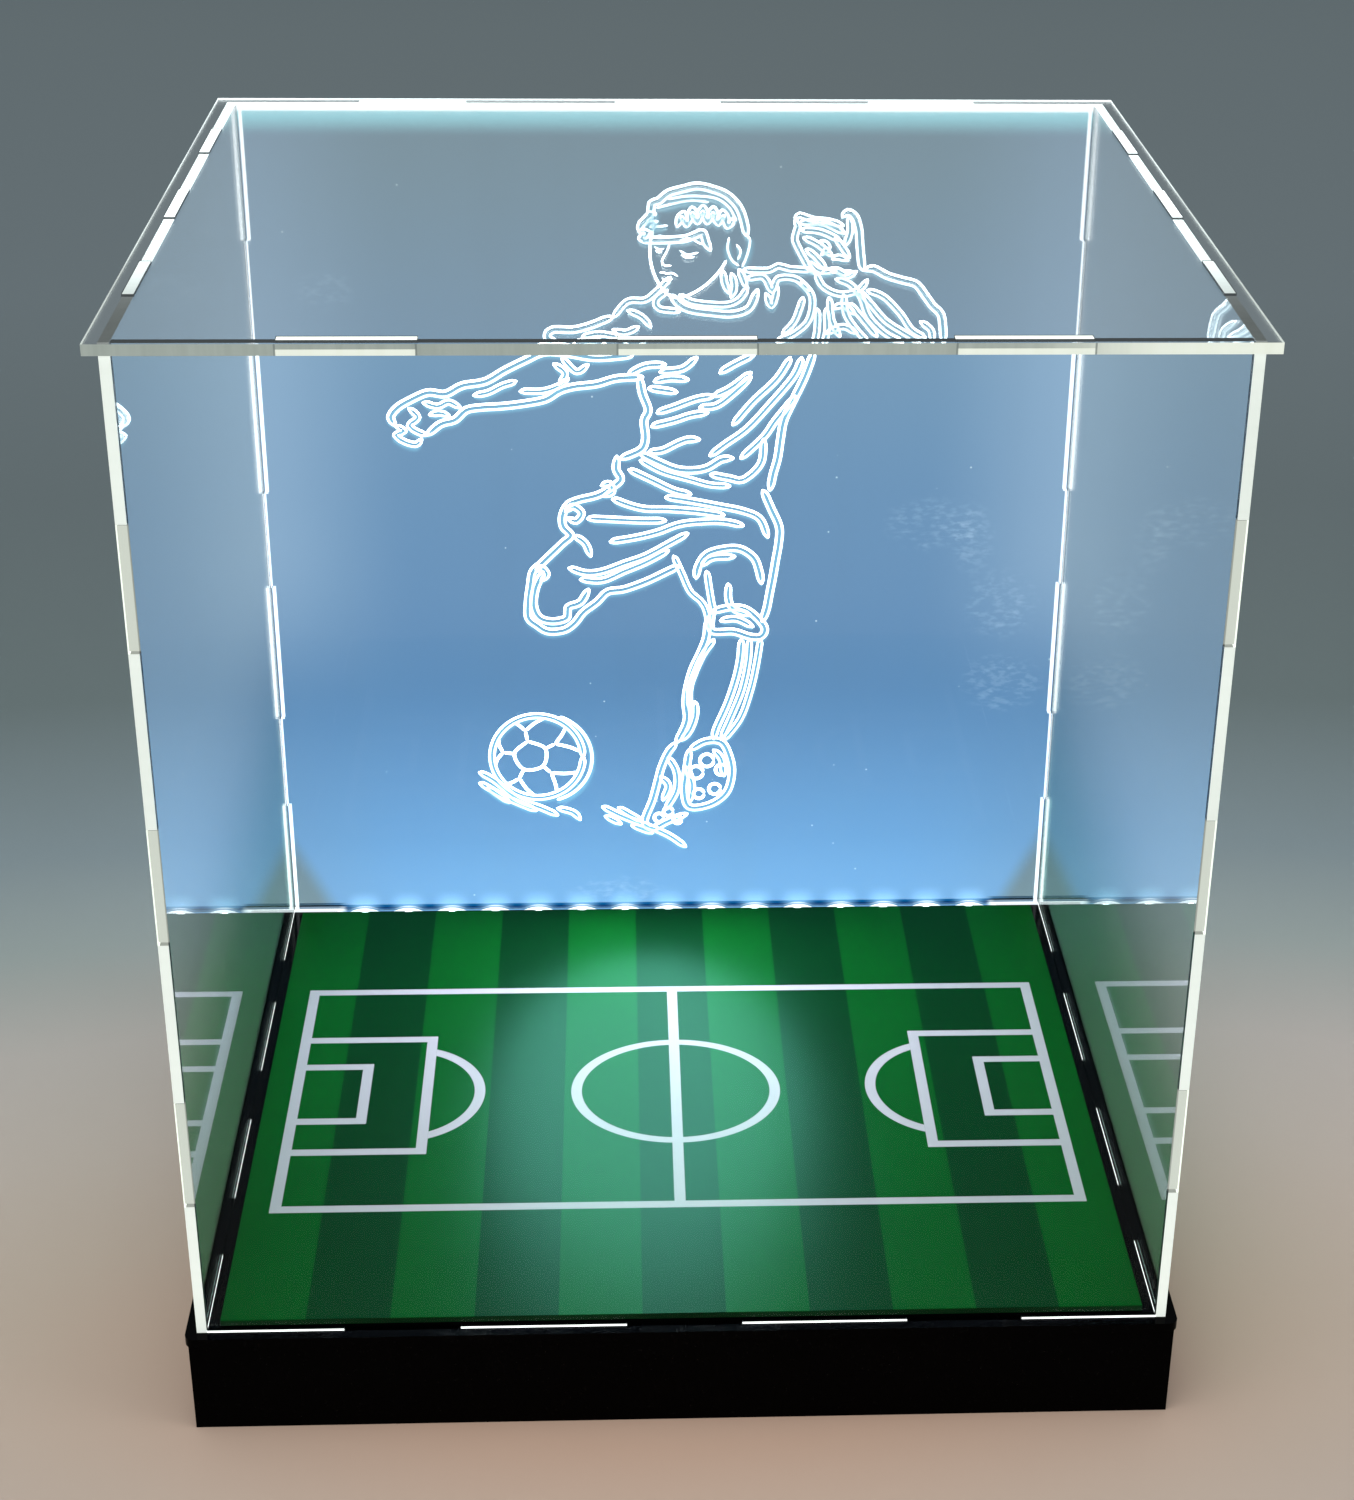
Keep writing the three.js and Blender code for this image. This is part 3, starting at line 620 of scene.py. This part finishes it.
turf = [
    [(-25, 43.5), (-17, 39), (-8, 35), (0, 31), (6.5, 26)], [(-19, 43), (-10, 37)],
    [(-24, 39.5), (-18, 36)], [(-71, 58.5), (-65, 54.5), (-57, 47), (-48, 43), (-42, 40)],
    [(-71, 54), (-62, 48), (-50, 42)], [(-42, 43), (-36, 41), (-33.5, 38)],
    [(-68, 52), (-60, 45.5)], [(-14, 35.5), (-6, 32)],
]


def ring(centre_x, centre_z, radius, start=0, stop=360, count=18):
    """Points on a circle's arc, from start to stop degrees."""
    turn = np.radians(np.linspace(start, stop, count))
    return np.stack([centre_x + radius * np.cos(turn), centre_z + radius * np.sin(turn)], 1)


studs = [ring(14.5, 62.5, 2.6), ring(10.5, 57.5, 2.6), ring(20, 58.5, 2.2), ring(17.5, 50.5, 2.2),
         ring(11.5, 48.5, 2.0), ring(0, 41, 1.8), ring(-3.5, 38.5, 1.8), ring(3.5, 37.5, 1.6)]

# The face is turned a little to the left and bowed, with closed lips and lowered eyes. Its points
# are on its own axes: across the head and along it from chin to crown, from the head's middle.
head_middle, head_lean = np.array((8.0, 257.0)), math.radians(-9)
face_lines = [
    [(-13.5, 4), (-13.9, -1), (-13.4, -6), (-11.8, -11), (-9, -15.5), (-5.5, -18.8), (-1.5, -19.6),
     (3, -17.5), (7.5, -13.5), (11, -8.5), (13, -4)],
    [(-12.8, -0.4), (-10.8, 0.8), (-8.3, 0.2)], [(-4.0, 0.2), (-0.8, 1.4), (3.8, 0.0)],
    [(-12.3, -3.2), (-10.6, -4.0), (-8.9, -3.4)], [(-3.6, -3.2), (-0.6, -4.2), (3.0, -2.9)],
    [(-11.8, -4.4), (-10.6, -4.9), (-9.4, -4.6)], [(-2.8, -4.6), (-0.6, -5.3), (2.0, -4.5)],
    [(-7.2, -0.8), (-7.8, -4.2), (-9.0, -7.8), (-7.7, -9.2), (-5.4, -8.8)],
    [(-9.2, -12.0), (-7.8, -11.6), (-6.7, -11.9), (-4.9, -11.4), (-2.6, -12.2)],
    [(-8.2, -13.6), (-6.4, -14.2), (-4.2, -13.4)],
]


def on_head(points):
    """Face points turned by the head's lean and carried to its middle."""
    points = np.array(points, float)
    cos, sin = math.cos(head_lean), math.sin(head_lean)
    return points @ np.array(((cos, sin), (-sin, cos))) + head_middle


# The ball: its outline, a five-sided patch near the middle and seams that run out to part patches.
ball_middle, ball_radius = np.array((-49.0, 64.5)), 17.0
patch_turns = np.radians(100 + 72 * np.arange(6))
patch_middle, patch_radius = ball_middle + (-2.5, 0.5), 6.2
patch = patch_middle + patch_radius * np.stack([np.cos(patch_turns), np.sin(patch_turns)], 1)
seam_turn = 0.36
seams = []
for corner in patch[:5]:
    outward = (corner - patch_middle) / patch_radius
    sideways = np.array((-outward[1], outward[0]))
    knee = corner + outward * 4.2
    seams += [[corner, knee]]
    for hand in (-1, 1):
        seam_end = ball_middle + ball_radius * 0.96 * (
            math.cos(seam_turn) * outward + hand * math.sin(seam_turn) * sideways)
        seams += [[knee, (knee + seam_end) / 2 + outward * 0.6, seam_end]]
ball_lines = [ring(*ball_middle, ball_radius, 0, 360, 40), ring(-46.8, 64.0, 18.2, -75, 70, 20)]


def smooth_path(points, step=0.7):
    """A curve through the points: between each two it is the cubic whose slope at a point is half the
    way from the point before to the point after (Catmull and Rom's), cut at about every step."""
    points = np.asarray(points, float)
    padded = np.vstack([2 * points[0] - points[1], points, 2 * points[-1] - points[-2]])
    spans = []
    for before, start, end, after in zip(padded, padded[1:], padded[2:], padded[3:]):
        count = max(2, int(np.linalg.norm(end - start) / step))
        t = np.arange(count)[:, None] / count
        spans.append(0.5 * (2 * start + (end - before) * t
                            + (2 * before - 5 * start + 4 * end - after) * t ** 2
                            + (3 * start - before - 3 * end + after) * t ** 3))
    return np.vstack(spans + [points[-1:]])


def left_and_run(path):
    """At each point of a path, the unit vector to its left and the distance run from its start."""
    slope = np.gradient(path, axis=0)
    slope /= np.linalg.norm(slope, axis=1, keepdims=True) + 1e-9
    run = np.concatenate([[0], np.cumsum(np.linalg.norm(np.diff(path, axis=0), axis=1))])
    return np.stack([-slope[:, 1], slope[:, 0]], 1), run


def groove(points, width, sides, depth, y_face, drop):
    """A trough along a smooth path on the rear face. Across the path u runs from -1 to 1: the point is
    the path's, plus u times half the width along the path's left, sunk by depth times 1 - u squared.
    Near its ends the trough narrows with the root of the share of the way to the end."""
    path = smooth_path(points)
    left, run = left_and_run(path)
    end_gap = np.minimum(run, run[-1] - run) / (0.7 * width)
    narrow = np.sqrt(np.clip(end_gap, 0.02, 1))
    u = np.linspace(-1, 1, sides)
    flat = path[:, None] + left[:, None] * (u[None, :, None] * narrow[:, None, None] * width / 2)
    flat[..., 1] -= drop
    sunk = depth * (1 - u[None, :] ** 2) * narrow[:, None]
    points_3d = np.stack([flat[..., 0] * MM, y_face - sunk * MM, flat[..., 1] * MM + back_low.z], -1)
    shares = np.broadcast_to(u[None, :], sunk.shape)
    return points_3d.reshape(-1, 3), grid_faces(len(path), sides), shares.ravel()


def across_groove(finish):
    """How far a point is from a groove's middle line: 0 there, and 1 at both edges."""
    return abs(finish.number(finish.add("Attribute", {"attribute_name": "across"}), 2))


def glowing_frosted_groove(name, dim_edge_glow, strength):
    """Frosted acrylic lit from below, as a painted white glow in its emission, dimmer at the two edges
    of the groove.
    """
    finish = new_finish(name)
    u = across_groove(finish)
    frost = finish.noise(900.0, 2.0) * 0.3 + 0.85
    white = 1 - (u - 0.8).ramp(0.0, 0.25)
    colour = finish.blend(white * frost, dim_edge_glow, (0.93, 0.99, 1.0, 1))
    finish.owner.cycles.emission_sampling = "NONE"
    return finish.surface(finish.shader("BsdfPrincipled", {
        "Base Color": (0.85, 0.9, 0.92, 1), "Roughness": 0.6,
        "Emission Color": colour, "Emission Strength": strength,
    }))


def soft_glow(name, colour, strength, share):
    """A painted glow for the light scattered in the sheet beside a groove: it fades from the middle to
    both sides.
    """
    finish = new_finish(name)
    u = across_groove(finish)
    fade = (1 - u.ramp(0.05, 1.0)) * share
    light = finish.shader("Emission", {"Color": colour, "Strength": strength})
    finish.owner.cycles.emission_sampling = "NONE"
    return finish.surface(finish.either(
        fade, finish.shader("BsdfTransparent", {"Color": (1, 1, 1, 1)}), light))


groove_glow_finish = glowing_frosted_groove("glowing_frosted_groove", (0.10, 0.20, 0.26, 1), 5.0)
glow_finish = soft_glow("groove_glow", (0.36, 0.80, 1.0, 1), 0.80, 0.60)

rear_face = wall_outer_y - 0.02 * MM
groove_depth = 0.40


def groove_piece(name, curves, width, sides=5, depth=groove_depth, y_face=rear_face,
                 material=groove_glow_finish, drop=0.0):
    """One piece of many troughs; its attribute 'across' holds u, from -1 to 1."""
    points, faces, across, start = [], [], [], 0
    for curve in curves:
        part, quads, shares = groove(curve, width, sides, depth, y_face, drop)
        points.append(part)
        faces.append(quads + start)
        across.append(shares)
        start += len(part)
    piece = new_piece(name, np.vstack(points), np.vstack(faces), material, "cover", "engraved_acrylic")
    attribute = piece.data.attributes.new("across", "FLOAT", "POINT")
    attribute.data.foreach_set("value", np.concatenate(across).astype(np.float32))


def around(points, gap):
    """The closed outline of a stroke: its smooth path moved by gap to the left, and back on the right.
    Towards the stroke's two ends the gap shrinks with the root of the distance."""
    path = smooth_path(points, 1.4)
    left, run = left_and_run(path)
    share = np.sqrt(np.clip(np.minimum(run, run[-1] - run) / (2.2 * gap), 0.04, 1))[:, None]
    aside = gap * share * left
    return np.vstack([path + aside, (path - aside)[::-1], path[:1] + aside[:1]])


outlines = [curve for part in figure.values() for curve in part]
long_from = 7  # a stroke of this many points or more is cut wider
long_lines = [around(curve, 1.05) for curve in outlines if len(curve) >= long_from]
long_lines.append(around(ball_lines[0], 0.9))
tight = figure["hair"] + figure["ear"]
short_lines = [curve if curve in tight else around(curve, 0.85)
               for curve in outlines if len(curve) < long_from]
fold_lines = [around(curve, 0.95) for curve in folds + turf]
jaw, *features = [on_head(line) for line in face_lines]
ball_strokes = seams + [patch, ball_lines[1]]
groove_piece("figure_outline_engraving", long_lines, 0.95)
groove_piece("figure_detail_engraving", short_lines, 0.85)
groove_piece("figure_fold_engraving", fold_lines, 0.95)
groove_piece("face_engraving", [jaw], 1.0, 7)
groove_piece("face_feature_engraving", features, 0.72, depth=0.3)
groove_piece("ball_and_stud_engraving", ball_strokes + studs, 1.25, 7)
# engraving_glow is a painted glow, dropped 0.9 mm below each line.
groove_piece("engraving_glow", outlines + ball_lines + folds + turf, 4.6, depth=0.02,
             y_face=rear_face - 0.7 * MM, material=glow_finish, drop=0.9)

# ---------------------------------------------------------------------------------------------
# The pitch is a 2 mm acrylic panel printed on its underside and glued to the base: mown stripes
# with white lines, behind a satin face that blurs what it mirrors.
pitch_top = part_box("pitch_panel")[1].z
mm_a_metre = 1000
front_face_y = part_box("front_wall")[0].y
stripe_width = 25.4
line_width = 3.6
field_half_x, field_near_y, field_far_y = 129.5, 61.2, 196.0
penalty_depth, penalty_near_y, penalty_far_y = 44.5, 91.6, 165.0
goal_depth, goal_near_y, goal_far_y = 23.3, 110.0, 147.4
circle_half_x, circle_half_y = 34.0, 30.7
arc_past_box, arc_half_x, arc_half_y = 8.5, 26.5, 28.0
line_fade = 0.15


def pitch_print(name):
    finish = new_finish(name)
    x, y, z = finish.places(scale=mm_a_metre)
    y = y - front_face_y * mm_a_metre
    middle_y = (field_near_y + field_far_y) / 2
    away = abs(x)
    half = line_width / 2

    def line_at(value, place):
        return 1 - (abs(value - place) - half).ramp(-line_fade, line_fade)

    def within(value, low, high):
        past_low, past_high = value - low, value - high
        return past_low.ramp(-line_fade, line_fade) * (1 - past_high.ramp(-line_fade, line_fade))

    def u_shape(depth, near, far):
        inner = field_half_x - depth
        sides = (line_at(y, near) | line_at(y, far)) * within(away, inner - half, field_half_x)
        return sides | line_at(away, inner) * within(y, near - half, far + half)

    def oval(centre, half_x, half_y):
        across, along = (away - centre) / half_x, (y - middle_y) / half_y
        return (across * across + along * along) ** 0.5 * half_x

    field = line_at(away, field_half_x) * within(y, field_near_y - half, field_far_y + half)
    field = field | (line_at(y, field_near_y) | line_at(y, field_far_y)) * within(
        away, -1, field_half_x + half)
    field = field | line_at(away, 0.0) * within(y, field_near_y, field_far_y)
    circle = line_at(oval(0.0, circle_half_x, circle_half_y), circle_half_x)
    box_inner = field_half_x - penalty_depth
    arc = line_at(oval(box_inner + arc_past_box, arc_half_x, arc_half_y), arc_half_x)
    arc = arc * (away < box_inner - half)
    lines = (field | circle | arc | u_shape(penalty_depth, penalty_near_y + half, penalty_far_y - half)
             | u_shape(goal_depth, goal_near_y + half, goal_far_y - half))
    stripe = abs((x + stripe_width) % (2 * stripe_width) - stripe_width) - stripe_width / 2
    mown = stripe.ramp(-0.3, 0.3)
    blades = finish.noise(420.0, 3.0, (1.0, 0.35, 1.0))
    patches = finish.noise(22.0, 2.0)
    light = finish.blend(patches, (0.0004, 0.046, 0.0025, 1), (0.0008, 0.062, 0.0050, 1))
    dark = finish.blend(patches, (0.0002, 0.016, 0.0018, 1), (0.0004, 0.022, 0.0030, 1))
    grass = finish.blend(mown, dark, light)
    grass = finish.blend(blades.ramp(0.35, 0.75) * 0.14, grass, (0.0005, 0.035, 0.004, 1))
    printed = finish.blend(lines, grass, (0.31, 0.33, 0.32, 1))
    on_top = z > pitch_top * mm_a_metre - 0.3
    colour = finish.blend(on_top, (0.004, 0.03, 0.008, 1), printed)
    normal = finish.relief(finish.noise(160.0, 3.0), 0.000006)
    ink = finish.shader("BsdfPrincipled", {
        "Base Color": colour, "Roughness": 0.5, "Specular IOR Level": 0.0, "Normal": normal,
    })
    dust = finish.noise(420.0, 5.0).ramp(0.62, 0.78)
    satin = finish.shader("BsdfPrincipled", {
        "Base Color": (0.07, 0.38, 0.20, 1), "Metallic": 1.0, "Roughness": dust * 0.06 + 0.30,
        "Normal": normal,
    })
    return finish.surface(finish.either(0.05, ink, satin))


paint(pitch_print("printed_pitch"), "pitch_panel")

# The shining engraving is mirrored in the satin print as one soft bright patch.
patch_light = bpy.data.lights.new("engraving_on_pitch", "AREA")
patch_light.shape, patch_light.size, patch_light.size_y = "ELLIPSE", 0.13, 0.16
patch_light.energy, patch_light.color = 0.62, (1.3, 1.15, 1.7)
patch_holder = bpy.data.objects.new("engraving_on_pitch", patch_light)
patch_holder.location = (-0.008, back_low.y - 0.004, back_low.z + 0.104)
patch_holder.rotation_euler = (math.radians(-90), 0, 0)
patch_holder.visible_camera = False
bpy.context.scene.collection.objects.link(patch_holder)
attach(patch_holder, "cover")
pitch_only = bpy.data.collections.new("pitch_only")
pitch_only.objects.link(nodes["pitch_panel"])
patch_holder.light_linking.receiver_collection = pitch_only

# ---------------------------------------------------------------------------------------------
# The base is a box of 3 mm gloss black acrylic, with satin cut edges. Its faces, edges too, carry a
# trace of dust and hair scratches in one gloss finish.
def black_sheet(name):
    finish = new_finish(name)
    dust = finish.noise(700.0, 6.0).ramp(0.60, 0.80)
    scratch = finish.noise(30.0, 5.0, (1.0, 14.0, 14.0)).ramp(0.60, 0.66)
    return finish.surface(finish.shader("BsdfPrincipled", {
        "Base Color": finish.blend(dust * 0.10, (0.0004, 0.0004, 0.0005, 1), (0.03, 0.03, 0.03, 1)),
        "Roughness": 0.04 + dust * 0.10 + scratch * 0.04, "Specular IOR Level": 0.02,
    }))


black_finish = black_sheet("gloss_black_acrylic")
base_nodes = [name for name in nodes if name.startswith(("base_", "corner_block", "led_rail"))]
paint(black_finish, *[name for name in base_nodes if "screw" not in name])

# ---------------------------------------------------------------------------------------------
# The LED strip: a white flexible tape glued on a black rail under the slot in the base's top, with
# tinned pads between its units, one chip resistor a unit, and LEDs whose phosphor fills a round cup.
tape_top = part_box("led_tape")[1].z
row_y = (led_low.y + led_high.y) / 2
cup_radius = 1.15 * MM
led_light, led_strength = (0.75, 0.92, 1.0, 1), 6.0
white_coat = (0.80, 0.80, 0.77, 1)


def strip_places(finish):
    """Distances from the nearest LED's middle along the row and across it."""
    x, y, z = finish.places()
    return from_nearest_led(x), abs(y - row_y), z


def led_package(name):
    finish = new_finish(name)
    along, aside, z = strip_places(finish)
    reach = (along * along + aside * aside) ** 0.5
    cup = (1 - reach.ramp(cup_radius, cup_radius + 0.1 * MM)) * (z > led_high.z - 0.1 * MM)
    contact = (along > 1.45 * MM) * (1 - (z - led_low.z).ramp(0.5 * MM, 0.6 * MM))
    body = finish.blend(contact, white_coat, (0.55, 0.55, 0.53, 1))
    finish.owner.cycles.emission_sampling = "NONE"
    return finish.surface(finish.shader("BsdfPrincipled", {
        "Base Color": finish.blend(cup, body, (0.90, 0.80, 0.35, 1)),
        "Roughness": 0.35 - contact * 0.1, "Metallic": contact * 1.0,
        "Emission Color": finish.blend(cup, no_light, led_light), "Emission Strength": led_strength,
        "Normal": finish.relief(finish.noise(2500.0, 2.0), 0.00001),
    }))


def tape_finish(name):
    finish = new_finish(name)
    along, aside, _ = strip_places(finish)
    joint = abs(along - led_pitch / 2)
    pad = (1 - joint.ramp(1.0 * MM, 1.1 * MM)) * aside.ramp(0.9 * MM, 1.0 * MM)
    pad = pad * (1 - aside.ramp(2.4 * MM, 2.5 * MM))
    cut_mark = 1 - joint.ramp(0.05 * MM, 0.12 * MM)
    track = (1 - abs(aside - 2.0 * MM).ramp(0.25 * MM, 0.35 * MM)) * 0.25
    white = finish.blend(track, white_coat, (0.62, 0.60, 0.52, 1))
    colour = finish.blend(pad, white, (0.72, 0.66, 0.52, 1))
    return finish.surface(finish.shader("BsdfPrincipled", {
        "Base Color": finish.blend(cut_mark * (1 - pad), colour, (0.05, 0.05, 0.05, 1)),
        "Roughness": 0.42 - pad * 0.15, "Metallic": pad * 0.9,
        "Normal": finish.relief(finish.noise(1200.0, 3.0), 0.00001),
    }))


def plain_finish(name, colour, roughness, metallic=0.0, grain=900.0):
    """A finish of one colour with fine grain and a little soiling; grain is its fineness."""
    finish = new_finish(name)
    fine, soil = finish.noise(grain, 3.0), finish.noise(60.0, 4.0)
    darker = tuple(0.75 * level for level in colour[:3]) + (1,)
    return finish.surface(finish.shader("BsdfPrincipled", {
        "Base Color": finish.blend(soil, colour, darker), "Metallic": metallic,
        "Roughness": fine * 0.12 + roughness, "Normal": finish.relief(fine, 0.00002),
    }))


paint(led_package("led_package"), *led_names)
paint(tape_finish("led_tape_white"), "led_tape")


def copies(shell, faces, centres):
    """The points and faces of a shell that is set down on each centre."""
    points = (np.asarray(centres)[:, None] + shell[None]).reshape(-1, 3)
    starts = range(0, len(points), len(shell))
    return points, [[corner + start for corner in face] for start in starts for face in faces]


def domes(centres, radius, height, rings=5, around_count=20):
    """A dome on each centre: at share r of the radius it stands height times 1 - r squared."""
    r = np.linspace(0, 1, rings)[1:, None]
    turn = np.linspace(0, 2 * np.pi, around_count, endpoint=False)[None, :]
    dome = np.stack([r * np.cos(turn) * radius, r * np.sin(turn) * radius,
                     np.broadcast_to(height * (1 - r ** 2), (rings - 1, around_count))], -1)
    dome = np.vstack([dome.reshape(-1, 3), [[0, 0, height]]])
    quads = grid_faces(rings - 1, around_count, closed=True)[:, ::-1]
    first = np.arange(around_count)
    fan = np.stack([np.full(around_count, len(dome) - 1), first, (first + 1) % around_count], 1)
    return copies(dome, quads.tolist() + fan.tolist(), centres)


led_middles = [(led_first_x + index * led_pitch, row_y, led_high.z) for index in range(len(led_names))]
lens = new_finish("led_phosphor")
lens.owner.cycles.emission_sampling = "NONE"
lens_finish = lens.surface(lens.shader("BsdfPrincipled", {
    "Base Color": lens.blend(lens.noise(3000.0), (0.92, 0.80, 0.30, 1), (0.88, 0.70, 0.22, 1)),
    "Roughness": 0.25, "Emission Color": led_light, "Emission Strength": led_strength,
}))
new_piece("led_lenses", *domes(led_middles, cup_radius, 0.18 * MM), lens_finish, "base", "led_white")


def soft_blocks(centres, half_sizes, power=0.25, rows=9, columns=16):
    """Blocks with rounded edges: a sphere's cosines and sines, each raised to the power with its sign."""
    def soft(value):
        return np.sign(value) * np.abs(value) ** power
    lift = np.linspace(-np.pi / 2, np.pi / 2, rows)[1:-1, None]
    turn = np.linspace(0, 2 * np.pi, columns, endpoint=False)[None, :]
    wide = soft(np.cos(lift))
    shell = np.stack([wide * soft(np.cos(turn)), wide * soft(np.sin(turn)),
                      np.broadcast_to(soft(np.sin(lift)), (rows - 2, columns))], -1)
    shell = np.vstack([shell.reshape(-1, 3), [[0, 0, -1], [0, 0, 1]]]) * half_sizes
    quads = grid_faces(rows - 2, columns, closed=True)
    first = np.arange(columns)
    after = (first + 1) % columns
    top = (rows - 3) * columns
    low_fan = np.stack([after, first, np.full(columns, len(shell) - 2)], 1)
    high_fan = np.stack([first + top, after + top, np.full(columns, len(shell) - 1)], 1)
    return copies(shell, quads.tolist() + low_fan.tolist() + high_fan.tolist(), centres)


leds_a_unit = 3
resistor_half = np.array((0.8, 0.55, 0.22)) * MM
resistor_middles = [
    (led_first_x + (leds_a_unit * unit + 0.62) * led_pitch, row_y, tape_top + resistor_half[2])
    for unit in range(len(led_names) // leds_a_unit)
]
resistor = new_finish("chip_resistor")
along, aside, _ = strip_places(resistor)
from_chip = abs(along - 0.38 * led_pitch)
end_cap = from_chip.ramp(0.48 * MM, 0.52 * MM)
resistor_finish = resistor.surface(resistor.shader("BsdfPrincipled", {
    "Base Color": resistor.blend(end_cap, (0.01, 0.01, 0.012, 1), (0.70, 0.70, 0.68, 1)),
    "Metallic": end_cap * 0.9, "Roughness": 0.32,
}))
new_piece("tape_resistors", *soft_blocks(resistor_middles, resistor_half), resistor_finish,
          "base", "socket_black")

# ---------------------------------------------------------------------------------------------
# The inlet in the back panel: a moulded black barrel socket with a nickel pin, held by a nut inside,
# two tinned lugs, and the red and black wires to the tape. Four zinc screws hold the bottom plate.
paint(plain_finish("moulded_socket", (0.010, 0.010, 0.011, 1), 0.36), "dc_socket")
paint(plain_finish("bright_nickel", (0.72, 0.68, 0.60, 1), 0.16, 1.0, 1500.0),
      "dc_socket_nut", "dc_socket_pin", "dc_lug_plus", "dc_lug_minus")
paint(plain_finish("red_insulation", (0.42, 0.012, 0.010, 1), 0.38), "wire_plus")
paint(plain_finish("black_insulation", (0.012, 0.012, 0.013, 1), 0.38), "wire_minus")
paint(plain_finish("zinc_steel", (0.62, 0.63, 0.65, 1), 0.28, 1.0, 700.0),
      *[name for name in nodes if name.startswith("base_screw")])
